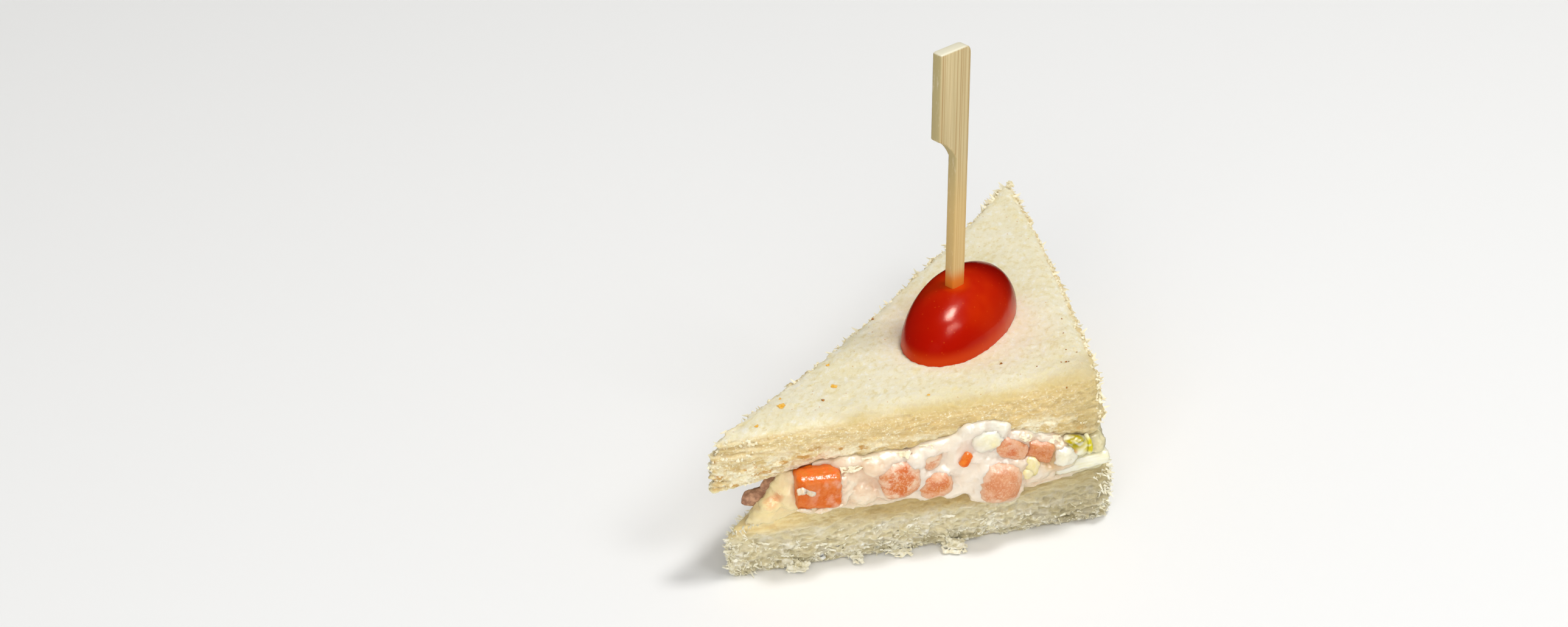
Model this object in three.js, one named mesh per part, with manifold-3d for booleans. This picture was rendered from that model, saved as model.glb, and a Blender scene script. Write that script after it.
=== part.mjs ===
// A small tramezzino: two slices of crustless soft white bread, cut to one triangle, round a thick
// filling of tuna and mayonnaise with diced tomato, egg white and a rib of salad. Half a plum
// cherry tomato lies on it, cut side down, and a flat bamboo paddle pick pins the whole.
// Millimetres, +Z up. +X runs along the front cut side and +Y from that side to the back tip.
// Places are worked out from the front left tip at table height, and the finished group is then
// moved so that its origin lies under the middle of the whole.
import * as THREE from "three";
import { mergeVertices } from "three/addons/utils/BufferGeometryUtils.js";
import { RoundedBoxGeometry } from "three/addons/geometries/RoundedBoxGeometry.js";
import Module from "manifold-3d";

const wasm = await Module();
wasm.setup();

// ---- Driving sizes ----
const GAP = 0.35; // left between pieces that touch
const RAD = Math.PI / 180;

const BOTTOM_THICK = 12;
const TOP_UNDER = 19.3; // height of the top slice's underside where nothing lifts it
const TOP_LEFT = 30.4; // and of its upper face, which is lower on the left, over less filling
const TOP_RIGHT = 32.3;
const LEFT_DROOP = 1.4; // the bottom slice thins towards its left tip
const BACK_DROOP = 1.1; // and the top slice sinks towards its back tip
// Long low waves in the faces: height, and length along X and Y.
const BOTTOM_RIPPLE = { high: 0.4, wide: 11, deep: 13 };
const UNDER_RIPPLE = { high: 0.4, wide: 9, deep: 14 };
const UPPER_RIPPLE = { high: 0.6, wide: 9, deep: 15 };

// The triangles of the two slices and the filling, from the front left tip round to the back tip.
const TOP_TIPS = [[-6.8, 0.3], [71.3, 0.2], [80.8, 85]];
const BOTTOM_TIPS = [[-3.8, 0], [74, 0.1], [81.6, 84]];
const FILLING_TIPS = [[-0.6, 0.6], [72.8, -0.4], [78.4, 77]];
// How far each side bows out, from the front side round: the long side was cut hollow.
const BREAD_BOWS = [0.4, 1.6, -2.3];
const FILLING_BOWS = [1.7, 1.2, -1.8];
const TIP_CUTS = [1.4, 2.4, 1.2];
const SIDE_STEPS = 16;
const TIP_STEPS = 3;

// Lumps of filling and a diced piece lift the top slice's front edge.
const LUMPS = [
  { x: 29, y: 0, wide: 13, deep: 14, high: 3.3 },
  { x: 46, y: 0, wide: 6.6, deep: 10, high: 4.6 },
  { x: 13.5, y: 0, wide: 4.6, deep: 5, high: 1.5 },
];

const FILLING_OVERLAP = 1.6; // the filling is modelled this much too thick, then cut by the bread
const SMEAR_THICK = 1.3; // it thins to a smear over the left tip of the bottom slice
const SMEAR_FROM = 1;
const SMEAR_TO = 11;
const FILLING_WAVES = [
  { turns: 5, size: 0.5, phase: 1.0 },
  { turns: 9, size: 0.4, phase: 2.2 },
  { turns: 14, size: 0.25, phase: 0.4 },
];

const TOMATO = { x: 51.2, y: 28.1, long: 35.2, wide: 18.9, high: 11.1, yaw: 48, fullness: 2.15 };
const TOMATO_SEAT = 31.6; // height of the dent that the tomato lies in
const TOMATO_STEPS = 18;
const TOMATO_SIDES = 28;

const PICK = { x: 49.5, y: 26.6, top: 93.4, long: 90, yaw: 27, thick: 2.4, wide: 3.2 };
const PADDLE = { wide: 8, long: 18.2, shoulder: 5, hollow: 1.5, leftRound: 0.6, rightRound: 2 };
const PICK_POINT_LONG = 9;

// Pieces in the filling: where the middle is, size along, across and up, and how each is turned.
const DICE_EDGE = 1.1; // radii of their edges
const EGG_EDGE = 1.6;
const RIB_EDGE = 0.9;
const TOMATO_DICE = [
  { at: [14.1, -1.2, 18.5], size: [8.6, 5.8, 7], turn: [0, 0, -7] },
  { at: [30.2, -0.2, 17.7], size: [8.2, 5.6, 7], turn: [-8, -10, 6] },
  { at: [37.5, -0.4, 15.5], size: [6.2, 5.4, 5], turn: [4, -18, -10] },
  { at: [35.9, 1.2, 20.4], size: [5.4, 5.2, 4.6], turn: [-4, 14, 8] },
  { at: [49.9, -1.6, 14.2], size: [8.4, 5, 7.6], turn: [-8, 10, 4] },
  { at: [52.6, 0.6, 20.3], size: [6.4, 5.4, 4.2], turn: [-6, 32, 8] },
  { at: [58.4, 1.4, 18.8], size: [6.4, 6, 4.6], turn: [6, 8, -10] },
  { at: [74, 26, 16.2], size: [6.8, 8.4, 6.4], turn: [8, -6, 12] },
  { at: [76.4, 53, 15.8], size: [6.4, 7.2, 6], turn: [-12, 10, -8] },
  { at: [24.4, 24.2, 16], size: [7.4, 6.8, 6.6], turn: [10, 8, 40] },
  { at: [52.4, 50.2, 16.2], size: [7.8, 6.6, 6.2], turn: [-8, -10, 36] },
];
const EGG_WHITES = [
  { at: [63.3, -0.4, 17.4], size: [5.4, 4.6, 4.2], turn: [6, 12, 14] },
  { at: [48, 0.6, 23], size: [7.6, 5.4, 4.8], turn: [-6, 6, 4] },
  { at: [75.4, 39.5, 16], size: [5.4, 7.6, 5.6], turn: [0, 12, -6] },
  { at: [38.6, 36.8, 16], size: [8, 5.6, 5.8], turn: [8, 0, 42] },
];
const RIB = { at: [67.4, 3, 13.9], size: [11.4, 7, 2.8], turn: [-4, -5, 2] };

const COLOURS = {
  crumb: 0xf3e6bd,
  filling: 0xf6dcc4,
  tomatoSkin: 0xb51f08,
  tomatoFlesh: 0xea8a63,
  eggWhite: 0xf7edcf,
  rib: 0xe9e6bb,
  bamboo: 0xdec48d,
};

// ---- Solids and meshes ----
function toSolid(geometry) {
  const bare = geometry.clone();
  bare.deleteAttribute("normal");
  bare.deleteAttribute("uv");
  const merged = mergeVertices(bare, 1e-4);
  return new wasm.Manifold(
    new wasm.Mesh({
      numProp: 3,
      vertProperties: new Float32Array(merged.attributes.position.array),
      triVerts: new Uint32Array(merged.index.array),
    }),
  );
}

function toGeometry(solid) {
  const mesh = solid.getMesh();
  const geometry = new THREE.BufferGeometry();
  geometry.setAttribute("position", new THREE.BufferAttribute(mesh.vertProperties, 3));
  geometry.setIndex(new THREE.BufferAttribute(mesh.triVerts, 1));
  return geometry;
}

// The largest body of a solid, without the slivers that a cut can leave.
function mainBody(solid) {
  const bodies = solid.decompose();
  return bodies.reduce((best, body) => (body.volume() > best.volume() ? body : best));
}

function cutBy(solid, ...cutters) {
  return mainBody(cutters.reduce((left, cutter) => left.subtract(cutter), solid));
}

// ---- Outlines ----
// Points round a triangle whose sides are bowed and whose tips are rounded off.
function triangleOutline(tips, bows) {
  const corners = tips.map((tip) => new THREE.Vector2(...tip));
  const sides = corners.map((from, i) => {
    const next = (i + 1) % corners.length;
    const along = corners[next].clone().sub(from).normalize();
    const start = from.clone().addScaledVector(along, TIP_CUTS[i]);
    const end = corners[next].clone().addScaledVector(along, -TIP_CUTS[next]);
    const outward = new THREE.Vector2(along.y, -along.x);
    const control = start.clone().lerp(end, 0.5).addScaledVector(outward, 2 * bows[i]);
    return { start, control, end, next };
  });
  return sides.flatMap(({ start, control, end, next }) => [
    ...new THREE.QuadraticBezierCurve(start, control, end).getSpacedPoints(SIDE_STEPS),
    ...new THREE.QuadraticBezierCurve(end, corners[next], sides[next].start)
      .getSpacedPoints(TIP_STEPS)
      .slice(1, -1),
  ]);
}

function middleOf(points) {
  const sum = points.reduce((total, p) => total.add(p), new THREE.Vector2());
  return sum.divideScalar(points.length);
}

// ---- Slab: a closed solid over an outline, between a lower and an upper height field ----
// Each ring is the outline drawn in towards the middle, by inset in millimetres or by a share of
// the way, at a level from 0, the lower field, to 1, the upper field.
function slab(outline, rings, lower, upper, grow = 0) {
  const middle = middleOf(outline);
  const count = outline.length;
  const positions = [];
  const place = (x, y, level) => {
    const low = lower(x, y) - grow;
    const high = upper(x, y) + grow;
    positions.push(x, y, low + (high - low) * level);
  };
  place(middle.x, middle.y, 0);
  for (const { inset = 0, share = 0, level } of rings) {
    for (const point of outline) {
      const reach = point.distanceTo(middle);
      const p = point.clone().lerp(middle, share > 0 ? share : (inset - grow) / reach);
      place(p.x, p.y, level);
    }
  }
  place(middle.x, middle.y, 1);
  const index = [];
  const last = positions.length / 3 - 1;
  for (let k = 0; k < count; k++) {
    const next = (k + 1) % count;
    index.push(0, 1 + next, 1 + k);
    for (let ring = 0; ring < rings.length - 1; ring++) {
      const a = 1 + ring * count + k;
      const b = 1 + ring * count + next;
      index.push(a, b, a + count, b, b + count, a + count);
    }
    const top = 1 + (rings.length - 1) * count;
    index.push(last, top + k, top + next);
  }
  const geometry = new THREE.BufferGeometry();
  geometry.setAttribute("position", new THREE.Float32BufferAttribute(positions, 3));
  geometry.setIndex(index);
  return geometry;
}

const hill = (x, y, { x: cx, y: cy, wide, deep, high }) =>
  high * Math.exp(-(((x - cx) / wide) ** 2 + ((y - cy) / deep) ** 2) / 2);
const ripple = (x, y, { high, wide, deep }) => high * Math.sin(x / wide) * Math.cos(y / deep);
const blend = THREE.MathUtils.smoothstep;
const mix = THREE.MathUtils.lerp;

// ---- Bread ----
const bottomUpper = (x, y) => BOTTOM_THICK + ripple(x, y, BOTTOM_RIPPLE) - LEFT_DROOP * blend(-x, -9, 3);
const topUnder = (x, y) =>
  LUMPS.reduce((height, lump) => height + hill(x, y, lump), TOP_UNDER + ripple(x, y, UNDER_RIPPLE));

// The tomato lies in a shallow dent.
function topUpper(x, y) {
  const level = mix(TOP_LEFT, TOP_RIGHT, blend(x, 12, 42)) - BACK_DROOP * blend(y, 30, 84);
  const wavy = level + ripple(x, y, UPPER_RIPPLE);
  const away = Math.hypot(x - TOMATO.x, y - TOMATO.y) / TOMATO.long;
  return mix(TOMATO_SEAT, wavy, blend(away, 0.35, 0.65));
}

// The knife squashes the cut edges, so the top slice's upper rim is the rounder one.
const TOP_RINGS = [
  { share: 0.6, level: 0 },
  { share: 0.25, level: 0 },
  { inset: 0.9, level: 0 },
  { inset: 0.1, level: 0.12 },
  { inset: 0, level: 0.5 },
  { inset: 0.6, level: 0.78 },
  { inset: 1.8, level: 0.93 },
  { inset: 4.4, level: 1 },
  { share: 0.25, level: 1 },
  { share: 0.5, level: 1 },
  { share: 0.75, level: 1 },
];
const BOTTOM_RINGS = [
  { share: 0.5, level: 0 },
  { inset: 1.4, level: 0 },
  { inset: 0.5, level: 0.1 },
  { inset: 0, level: 0.5 },
  { inset: 0.2, level: 0.82 },
  { inset: 1.2, level: 1 },
  { share: 0.3, level: 1 },
  { share: 0.65, level: 1 },
];

const bottomSlice = (grow = 0) =>
  toSolid(slab(triangleOutline(BOTTOM_TIPS, BREAD_BOWS), BOTTOM_RINGS, () => 0, bottomUpper, grow));
const topSlice = (grow = 0) =>
  toSolid(slab(triangleOutline(TOP_TIPS, BREAD_BOWS), TOP_RINGS, topUnder, topUpper, grow));

// ---- Filling ----
// It bulges past the bread in soft lumps.
const FILLING_RINGS = [
  { share: 0.5, level: 0 },
  { inset: 3, level: 0 },
  { inset: 0.7, level: 0.16 },
  { inset: 0, level: 0.4 },
  { inset: 0.5, level: 0.66 },
  { inset: 2, level: 0.88 },
  { inset: 4.4, level: 1 },
  { share: 0.5, level: 1 },
];

function fillingOutline() {
  const outline = triangleOutline(FILLING_TIPS, FILLING_BOWS);
  const middle = middleOf(outline);
  return outline.map((point, i) => {
    const angle = (2 * Math.PI * i) / outline.length;
    const wave = FILLING_WAVES.reduce((sum, w) => sum + w.size * Math.sin(w.turns * angle + w.phase), 0);
    const outward = point.clone().sub(middle).normalize();
    return point.clone().addScaledVector(outward, wave);
  });
}

const fillingUpper = (x, y) =>
  mix(bottomUpper(x, y) + SMEAR_THICK, topUnder(x, y) + FILLING_OVERLAP, blend(x, SMEAR_FROM, SMEAR_TO));
const fillingSolid = () =>
  toSolid(slab(fillingOutline(), FILLING_RINGS, (x, y) => bottomUpper(x, y) - FILLING_OVERLAP, fillingUpper));

// ---- Pieces in the filling ----
function block({ at, size, turn }, edge, grow = 0) {
  const grown = size.map((length) => length + 2 * grow);
  const geometry = new RoundedBoxGeometry(...grown, 1, edge);
  const angles = turn.map((degrees) => degrees * RAD);
  geometry.applyMatrix4(new THREE.Matrix4().makeRotationFromEuler(new THREE.Euler(...angles)));
  geometry.translate(...at);
  return toSolid(geometry);
}

// ---- Half tomato: a plump oval turned about its long axis, with its cut face on the bread ----
function tomatoHalf() {
  const profile = [];
  for (let k = 0; k <= TOMATO_STEPS; k++) {
    const turn = (Math.PI * k) / TOMATO_STEPS;
    const radius = Math.sin(turn) ** (2 / TOMATO.fullness);
    const along = -Math.sign(Math.cos(turn)) * Math.abs(Math.cos(turn)) ** (2 / TOMATO.fullness);
    profile.push(new THREE.Vector2(k % TOMATO_STEPS === 0 ? 0 : radius, along));
  }
  const geometry = new THREE.LatheGeometry(profile, TOMATO_SIDES);
  geometry.rotateZ(-Math.PI / 2);
  geometry.scale(TOMATO.long / 2, TOMATO.wide / 2, TOMATO.high);
  geometry.rotateZ(TOMATO.yaw * RAD);
  geometry.translate(TOMATO.x, TOMATO.y, TOMATO_SEAT);
  return toSolid(geometry);
}

// ---- Pick: a flat paddle over a narrow shaft that keeps the paddle's right edge ----
function pick(grow = 0) {
  const right = PICK.wide / 2 + grow;
  const left = PICK.wide / 2 - PADDLE.wide - grow;
  const foot = PICK.top - PICK.long - grow;
  const shoulderTop = PICK.top - PADDLE.long;
  const outline = new THREE.Shape();
  outline.moveTo(0, foot);
  outline.lineTo(right, foot + PICK_POINT_LONG);
  outline.lineTo(right, PICK.top - PADDLE.rightRound);
  outline.quadraticCurveTo(right, PICK.top, right - PADDLE.rightRound, PICK.top);
  outline.lineTo(left + PADDLE.leftRound, PICK.top);
  outline.quadraticCurveTo(left, PICK.top, left, PICK.top - PADDLE.leftRound);
  outline.lineTo(left, shoulderTop);
  outline.quadraticCurveTo(
    -right - PADDLE.hollow,
    shoulderTop - PADDLE.hollow,
    -right,
    shoulderTop - PADDLE.shoulder,
  );
  outline.lineTo(-right, foot + PICK_POINT_LONG);
  outline.closePath();
  const depth = PICK.thick + 2 * grow;
  const geometry = new THREE.ExtrudeGeometry(outline, { depth, bevelEnabled: false, curveSegments: 6 });
  geometry.translate(0, 0, -depth / 2);
  geometry.rotateX(Math.PI / 2);
  geometry.rotateZ(PICK.yaw * RAD);
  geometry.translate(PICK.x, PICK.y, 0);
  return toSolid(geometry);
}

// ---- Assembly ----
const bottomRoom = bottomSlice(GAP);
const topRoom = topSlice(GAP);
const pickRoom = pick(GAP);

// Each piece in the filling keeps clear of the bread and of the pieces before it.
function fillingPieces(list, edge, rooms) {
  return list.map((spec) => {
    const solid = cutBy(block(spec, edge), bottomRoom, topRoom, pickRoom, ...rooms);
    rooms.push(block(spec, edge, GAP));
    return solid;
  });
}

const rooms = [];
const dice = fillingPieces(TOMATO_DICE, DICE_EDGE, rooms);
const eggWhites = fillingPieces(EGG_WHITES, EGG_EDGE, rooms);
const [rib] = fillingPieces([RIB], RIB_EDGE, rooms);

const group = new THREE.Group();

function addPiece(name, solid, colour, roughness) {
  const material = new THREE.MeshStandardMaterial({ color: colour, roughness, metalness: 0 });
  const mesh = new THREE.Mesh(toGeometry(solid), material);
  mesh.name = name;
  group.add(mesh);
}

addPiece("bread_bottom", cutBy(bottomSlice(), pickRoom), COLOURS.crumb, 0.9);
addPiece("filling", cutBy(fillingSolid(), bottomRoom, topRoom, pickRoom, ...rooms), COLOURS.filling, 0.35);
addPiece("bread_top", cutBy(topSlice(), pickRoom), COLOURS.crumb, 0.9);
addPiece("tomato_half", cutBy(tomatoHalf(), topRoom, pickRoom), COLOURS.tomatoSkin, 0.2);
addPiece("pick", pick(), COLOURS.bamboo, 0.5);
dice.forEach((solid, i) => addPiece(`tomato_dice_${i + 1}`, solid, COLOURS.tomatoFlesh, 0.3));
eggWhites.forEach((solid, i) => addPiece(`egg_white_${i + 1}`, solid, COLOURS.eggWhite, 0.35));
addPiece("salad_rib", rib, COLOURS.rib, 0.3);

// The origin goes under the middle of the whole, at table height.
const box = new THREE.Box3().setFromObject(group);
const middle = box.getCenter(new THREE.Vector3());
group.position.set(-middle.x, -middle.y, -box.min.z);

export default group;
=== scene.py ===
# %% [markdown]
# # A small tuna tramezzino, with half a tomato on a bamboo pick
# The solids of the sandwich come ready made, in metres, with the origin on the table under the middle of
# the whole. This lesson dresses them: the bread gets its torn crumb, the filling its cream and small bits,
# the tomato its shine and the pick its fibres. Each piece is copied from its solid or built beside it, so
# that nothing has to be fitted afterwards.

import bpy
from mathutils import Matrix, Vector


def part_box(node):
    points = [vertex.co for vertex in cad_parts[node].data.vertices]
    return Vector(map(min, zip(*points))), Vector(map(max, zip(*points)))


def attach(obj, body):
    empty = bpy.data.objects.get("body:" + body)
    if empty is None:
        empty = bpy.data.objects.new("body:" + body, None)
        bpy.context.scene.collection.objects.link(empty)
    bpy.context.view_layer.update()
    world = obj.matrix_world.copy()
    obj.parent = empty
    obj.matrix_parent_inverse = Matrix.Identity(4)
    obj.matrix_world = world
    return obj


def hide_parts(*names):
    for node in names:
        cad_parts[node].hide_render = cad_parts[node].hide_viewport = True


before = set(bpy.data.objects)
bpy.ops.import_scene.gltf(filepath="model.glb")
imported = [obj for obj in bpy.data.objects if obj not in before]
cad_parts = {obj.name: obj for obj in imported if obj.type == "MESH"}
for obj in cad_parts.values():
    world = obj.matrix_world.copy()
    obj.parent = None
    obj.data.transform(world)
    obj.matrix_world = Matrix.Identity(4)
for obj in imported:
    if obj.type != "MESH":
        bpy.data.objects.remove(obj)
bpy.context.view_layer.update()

# %% Modules and the unit
import math
import random
from contextlib import contextmanager

import bpy
import numpy as np
from mathutils import Euler, Matrix, Vector, noise
from mathutils.bvhtree import BVHTree

MM = 0.001

# %% [markdown]
# ## Camera
# The sandwich is seen from the front, 30 degrees from above and a little from its left, through a long
# lens that hardly narrows it towards the back. A camera that is tilted up by 60 degrees from looking
# straight down, and turned by 15 degrees, does this.

# %% Camera
bpy.ops.object.camera_add(
    location=(-0.17087, -0.55724, 0.36600),
    rotation=(math.radians(60), 0, math.radians(-15.261)),
)
camera = bpy.context.object
camera.data.sensor_width = 36
camera.data.lens = 77.8
camera.data.clip_start = 0.05
camera.data.clip_end = 20
bpy.context.scene.camera = camera
print("camera", [round(v, 4) for v in camera.location], "lens", camera.data.lens)

# %% [markdown]
# ## Table and light
# A plain pale table and soft lamps keep the colours of the food true. The main lamp hangs above, a weaker
# one stands in front, and a wide low one on the left fills the shade of the front without any gloss. Two
# more light nothing and only glint in glossy skins: the one above leaves the clear gloss on the tomato,
# and the wider one in front a second, softer one. The sky does the rest.

# %% Table
bpy.ops.mesh.primitive_plane_add(size=6, location=(0, 0, 0))
table = bpy.context.object
table.name = "table"
table.visible_glossy = False
paper = bpy.data.materials.new("paper")
paper.use_nodes = True
matt = paper.node_tree.nodes["Principled BSDF"].inputs
matt["Base Color"].default_value = (0.93, 0.93, 0.92, 1)
matt["Roughness"].default_value = 0.9
table.data.materials.append(paper)
print("table", [round(v, 2) for v in table.dimensions])

# %% Lamps
LAMP_REACH = 1.2
LAMP_AIM = Vector((0, 0, 0.03))


def lamp(name, way, size, power, glossy=True, diffuse=True):
    """A soft lamp that stands where way points and faces the sandwich, in metres and watts."""
    place = Vector(way) * LAMP_REACH
    bpy.ops.object.light_add(type="AREA", location=place)
    light = bpy.context.object
    light.name = name
    light.data.shape = "RECTANGLE"
    light.data.size, light.data.size_y = size
    light.data.energy = power
    light.rotation_euler = (LAMP_AIM - place).to_track_quat("-Z", "Y").to_euler()
    light.visible_glossy = glossy
    light.visible_diffuse = diffuse
    print(name, power, "W")


lamp("top_lamp", (0.27, -0.05, 0.96), (0.22, 0.22), 5.4)
lamp("front_lamp", (0.37, -0.52, 0.77), (0.36, 0.3), 2.0)
lamp("low_lamp", (-0.35, -0.85, 0.40), (0.9, 0.6), 6.0, glossy=False)
lamp("glint_lamp", (0.25, -0.07, 0.96), (0.3, 0.26), 20.0, diffuse=False)
lamp("low_glint", (0.37, -0.52, 0.77), (0.5, 0.3), 9.0, diffuse=False)

# %% Sky
world = bpy.data.worlds.new("studio")
world.use_nodes = True
sky = world.node_tree.nodes["Background"].inputs
sky["Color"].default_value = (1, 0.99, 0.97, 1)
sky["Strength"].default_value = 0.36
bpy.context.scene.world = world
# The room is too bright to be mirrored in a wet skin; only the lamps and the food itself are.
world.cycles_visibility.glossy = False
bpy.context.scene.view_settings.view_transform = "Standard"
print("sky strength", round(sky["Strength"].default_value, 2))

# %% [markdown]
# ## Tools for the meshes
# Every piece starts as a copy of its solid or as a primitive. A solid arrives as loose triangles, so a
# copy's doubles are merged first. A voxel remesh then gives it even faces, which can be pushed in and out
# by a cloudy pattern. The pattern is read through an empty, because the empty's scale stretches it: bread
# tears in long flat strands, so its pattern is long and low.

# %% Select a piece and edit it
def work_on(piece):
    """Makes the piece the active one and the only one selected."""
    bpy.ops.object.select_all(action="DESELECT")
    piece.select_set(True)
    bpy.context.view_layer.objects.active = piece


@contextmanager
def edit_mode(wanted=None):
    """Edit mode, with the faces selected that the rule wanted picks, or else with the whole mesh."""
    bpy.ops.object.mode_set(mode="EDIT")
    bpy.ops.mesh.select_all(action="SELECT")
    if wanted:
        bpy.ops.mesh.select_mode(type="FACE")
        bpy.ops.mesh.select_all(action="DESELECT")
        bpy.ops.object.mode_set(mode="OBJECT")
        for face in bpy.context.object.data.polygons:
            face.select = wanted(face)
        bpy.ops.object.mode_set(mode="EDIT")
    yield
    bpy.ops.object.mode_set(mode="OBJECT")


# %% Copy a solid, or add a primitive
def copy_solid(node, name):
    """A copy of a solid, its loose triangles merged to one skin."""
    piece = bpy.data.objects.new(name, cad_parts[node].data.copy())
    bpy.context.collection.objects.link(piece)
    piece.data.materials.clear()
    work_on(piece)
    with edit_mode():
        bpy.ops.mesh.remove_doubles(threshold=0.01 * MM)
    return piece


def start(primitive, name, **settings):
    """Adds a primitive with nothing else selected, and names it."""
    bpy.ops.object.select_all(action="DESELECT")
    primitive(**settings)
    bpy.context.object.name = name
    return bpy.context.object


# %% Remesh a piece, and apply a modifier
def remesh(piece, voxel):
    """Even faces of voxel millimetres."""
    work_on(piece)
    piece.data.remesh_voxel_size = voxel * MM
    bpy.ops.object.voxel_remesh()
    return piece


def modify(piece, kind, **settings):
    """Adds a modifier and applies it."""
    work_on(piece)
    modifier = piece.modifiers.new(kind.lower(), kind)
    for key, value in settings.items():
        setattr(modifier, key, value)
    bpy.ops.object.modifier_apply(modifier=modifier.name)
    return piece


# %% Push a skin in and out by a pattern
def roughen(piece, grain, high, group="", kind="clouds", depth=2, middle=0.5):
    """grain is the pattern's size along x, y and z and high its height, in millimetres. The kind is
    clouds, spikes, or bubbles, whose middles are pushed in and whose walls stand."""
    pattern = bpy.data.textures.new(kind, "VORONOI" if kind == "bubbles" else "CLOUDS")
    if kind != "bubbles":
        pattern.noise_depth = depth
        pattern.noise_type = "HARD_NOISE" if kind == "spikes" else "SOFT_NOISE"
    pattern.noise_scale = 1
    guide = bpy.data.objects.new("guide", None)
    bpy.context.collection.objects.link(guide)
    guide.scale = Vector(grain) * MM
    modify(
        piece,
        "DISPLACE",
        texture=pattern,
        texture_coords="OBJECT",
        texture_coords_object=guide,
        vertex_group=group,
        strength=high * MM,
        mid_level=middle,
    )
    bpy.data.objects.remove(guide)


# %% Weights and attributes
def smooth_step(value, low, high):
    """0 at low, 1 at high and past it, and a soft slope between them."""
    share = min(1, max(0, (value - low) / (high - low)))
    return share * share * (3 - 2 * share)


def spread(piece, weights, times):
    """Evens the weights out over neighbouring vertices."""
    ends = np.empty(len(piece.data.edges) * 2, dtype=np.int64)
    piece.data.edges.foreach_get("vertices", ends)
    first, second = ends.reshape(-1, 2).T
    shares = np.bincount(ends, minlength=len(weights))
    for _ in range(times):
        total = np.bincount(first, weights[second], len(weights))
        total += np.bincount(second, weights[first], len(weights))
        weights = (weights + total) / (1 + shares)
    return weights


def mark(piece, name, rule, soften=0):
    """Gives every vertex a weight from 0 to 1 by a rule, as a vertex group for the modifiers, and as
    an attribute for the finish, whose name ends in _mark."""
    group = piece.vertex_groups.new(name=name)
    attribute = piece.data.attributes.new(name + "_mark", "FLOAT", "POINT")
    weights = spread(piece, np.array([rule(vertex) for vertex in piece.data.vertices]), soften)
    attribute.data.foreach_set("value", weights)
    for index, weight in enumerate(weights):
        if weight > 0.01:
            group.add([index], float(weight), "REPLACE")


# %% Places on the sandwich
FRONT_LEFT = Vector((-37.666, -39.940, 0)) * MM


def at(x, y, z):
    """A place in millimetres from the front left tip: x along the front side, y to the back, z up."""
    return FRONT_LEFT + Vector((x, y, z)) * MM


def from_tip(place):
    """The same, the other way round: millimetres from the front left tip."""
    return (Vector(place) - FRONT_LEFT) / MM


# %% Hand a finished piece over
def hand_over(piece, slot, *nodes):
    """The piece moves with the one body and stands for these solids; slot is not used."""
    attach(piece, "root")
    if nodes:
        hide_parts(*nodes)
    triangles = sum(len(face.vertices) - 2 for face in piece.data.polygons)
    print(f"{piece.name}: {triangles} triangles")


# %% [markdown]
# ## Tools for the finishes
# A finish is a Principled shader fed by patterns that are measured in millimetres of the object. The class
# below only shortens the writing: a cloud for soft variation, cells for grains, a band to cut a pattern
# sharp, a blend of two colours by a pattern, a spot of colour round a place, and a bump. Numbers that are
# the same all over go on the shader itself.

# %% A colour
def paint(red, green, blue):
    """A colour from its 0 to 255 values, made linear as the shader wants it."""
    parts = [value / 255 for value in (red, green, blue)]
    return (*[p / 12.92 if p <= 0.04045 else ((p + 0.055) / 1.055) ** 2.4 for p in parts], 1)


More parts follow.
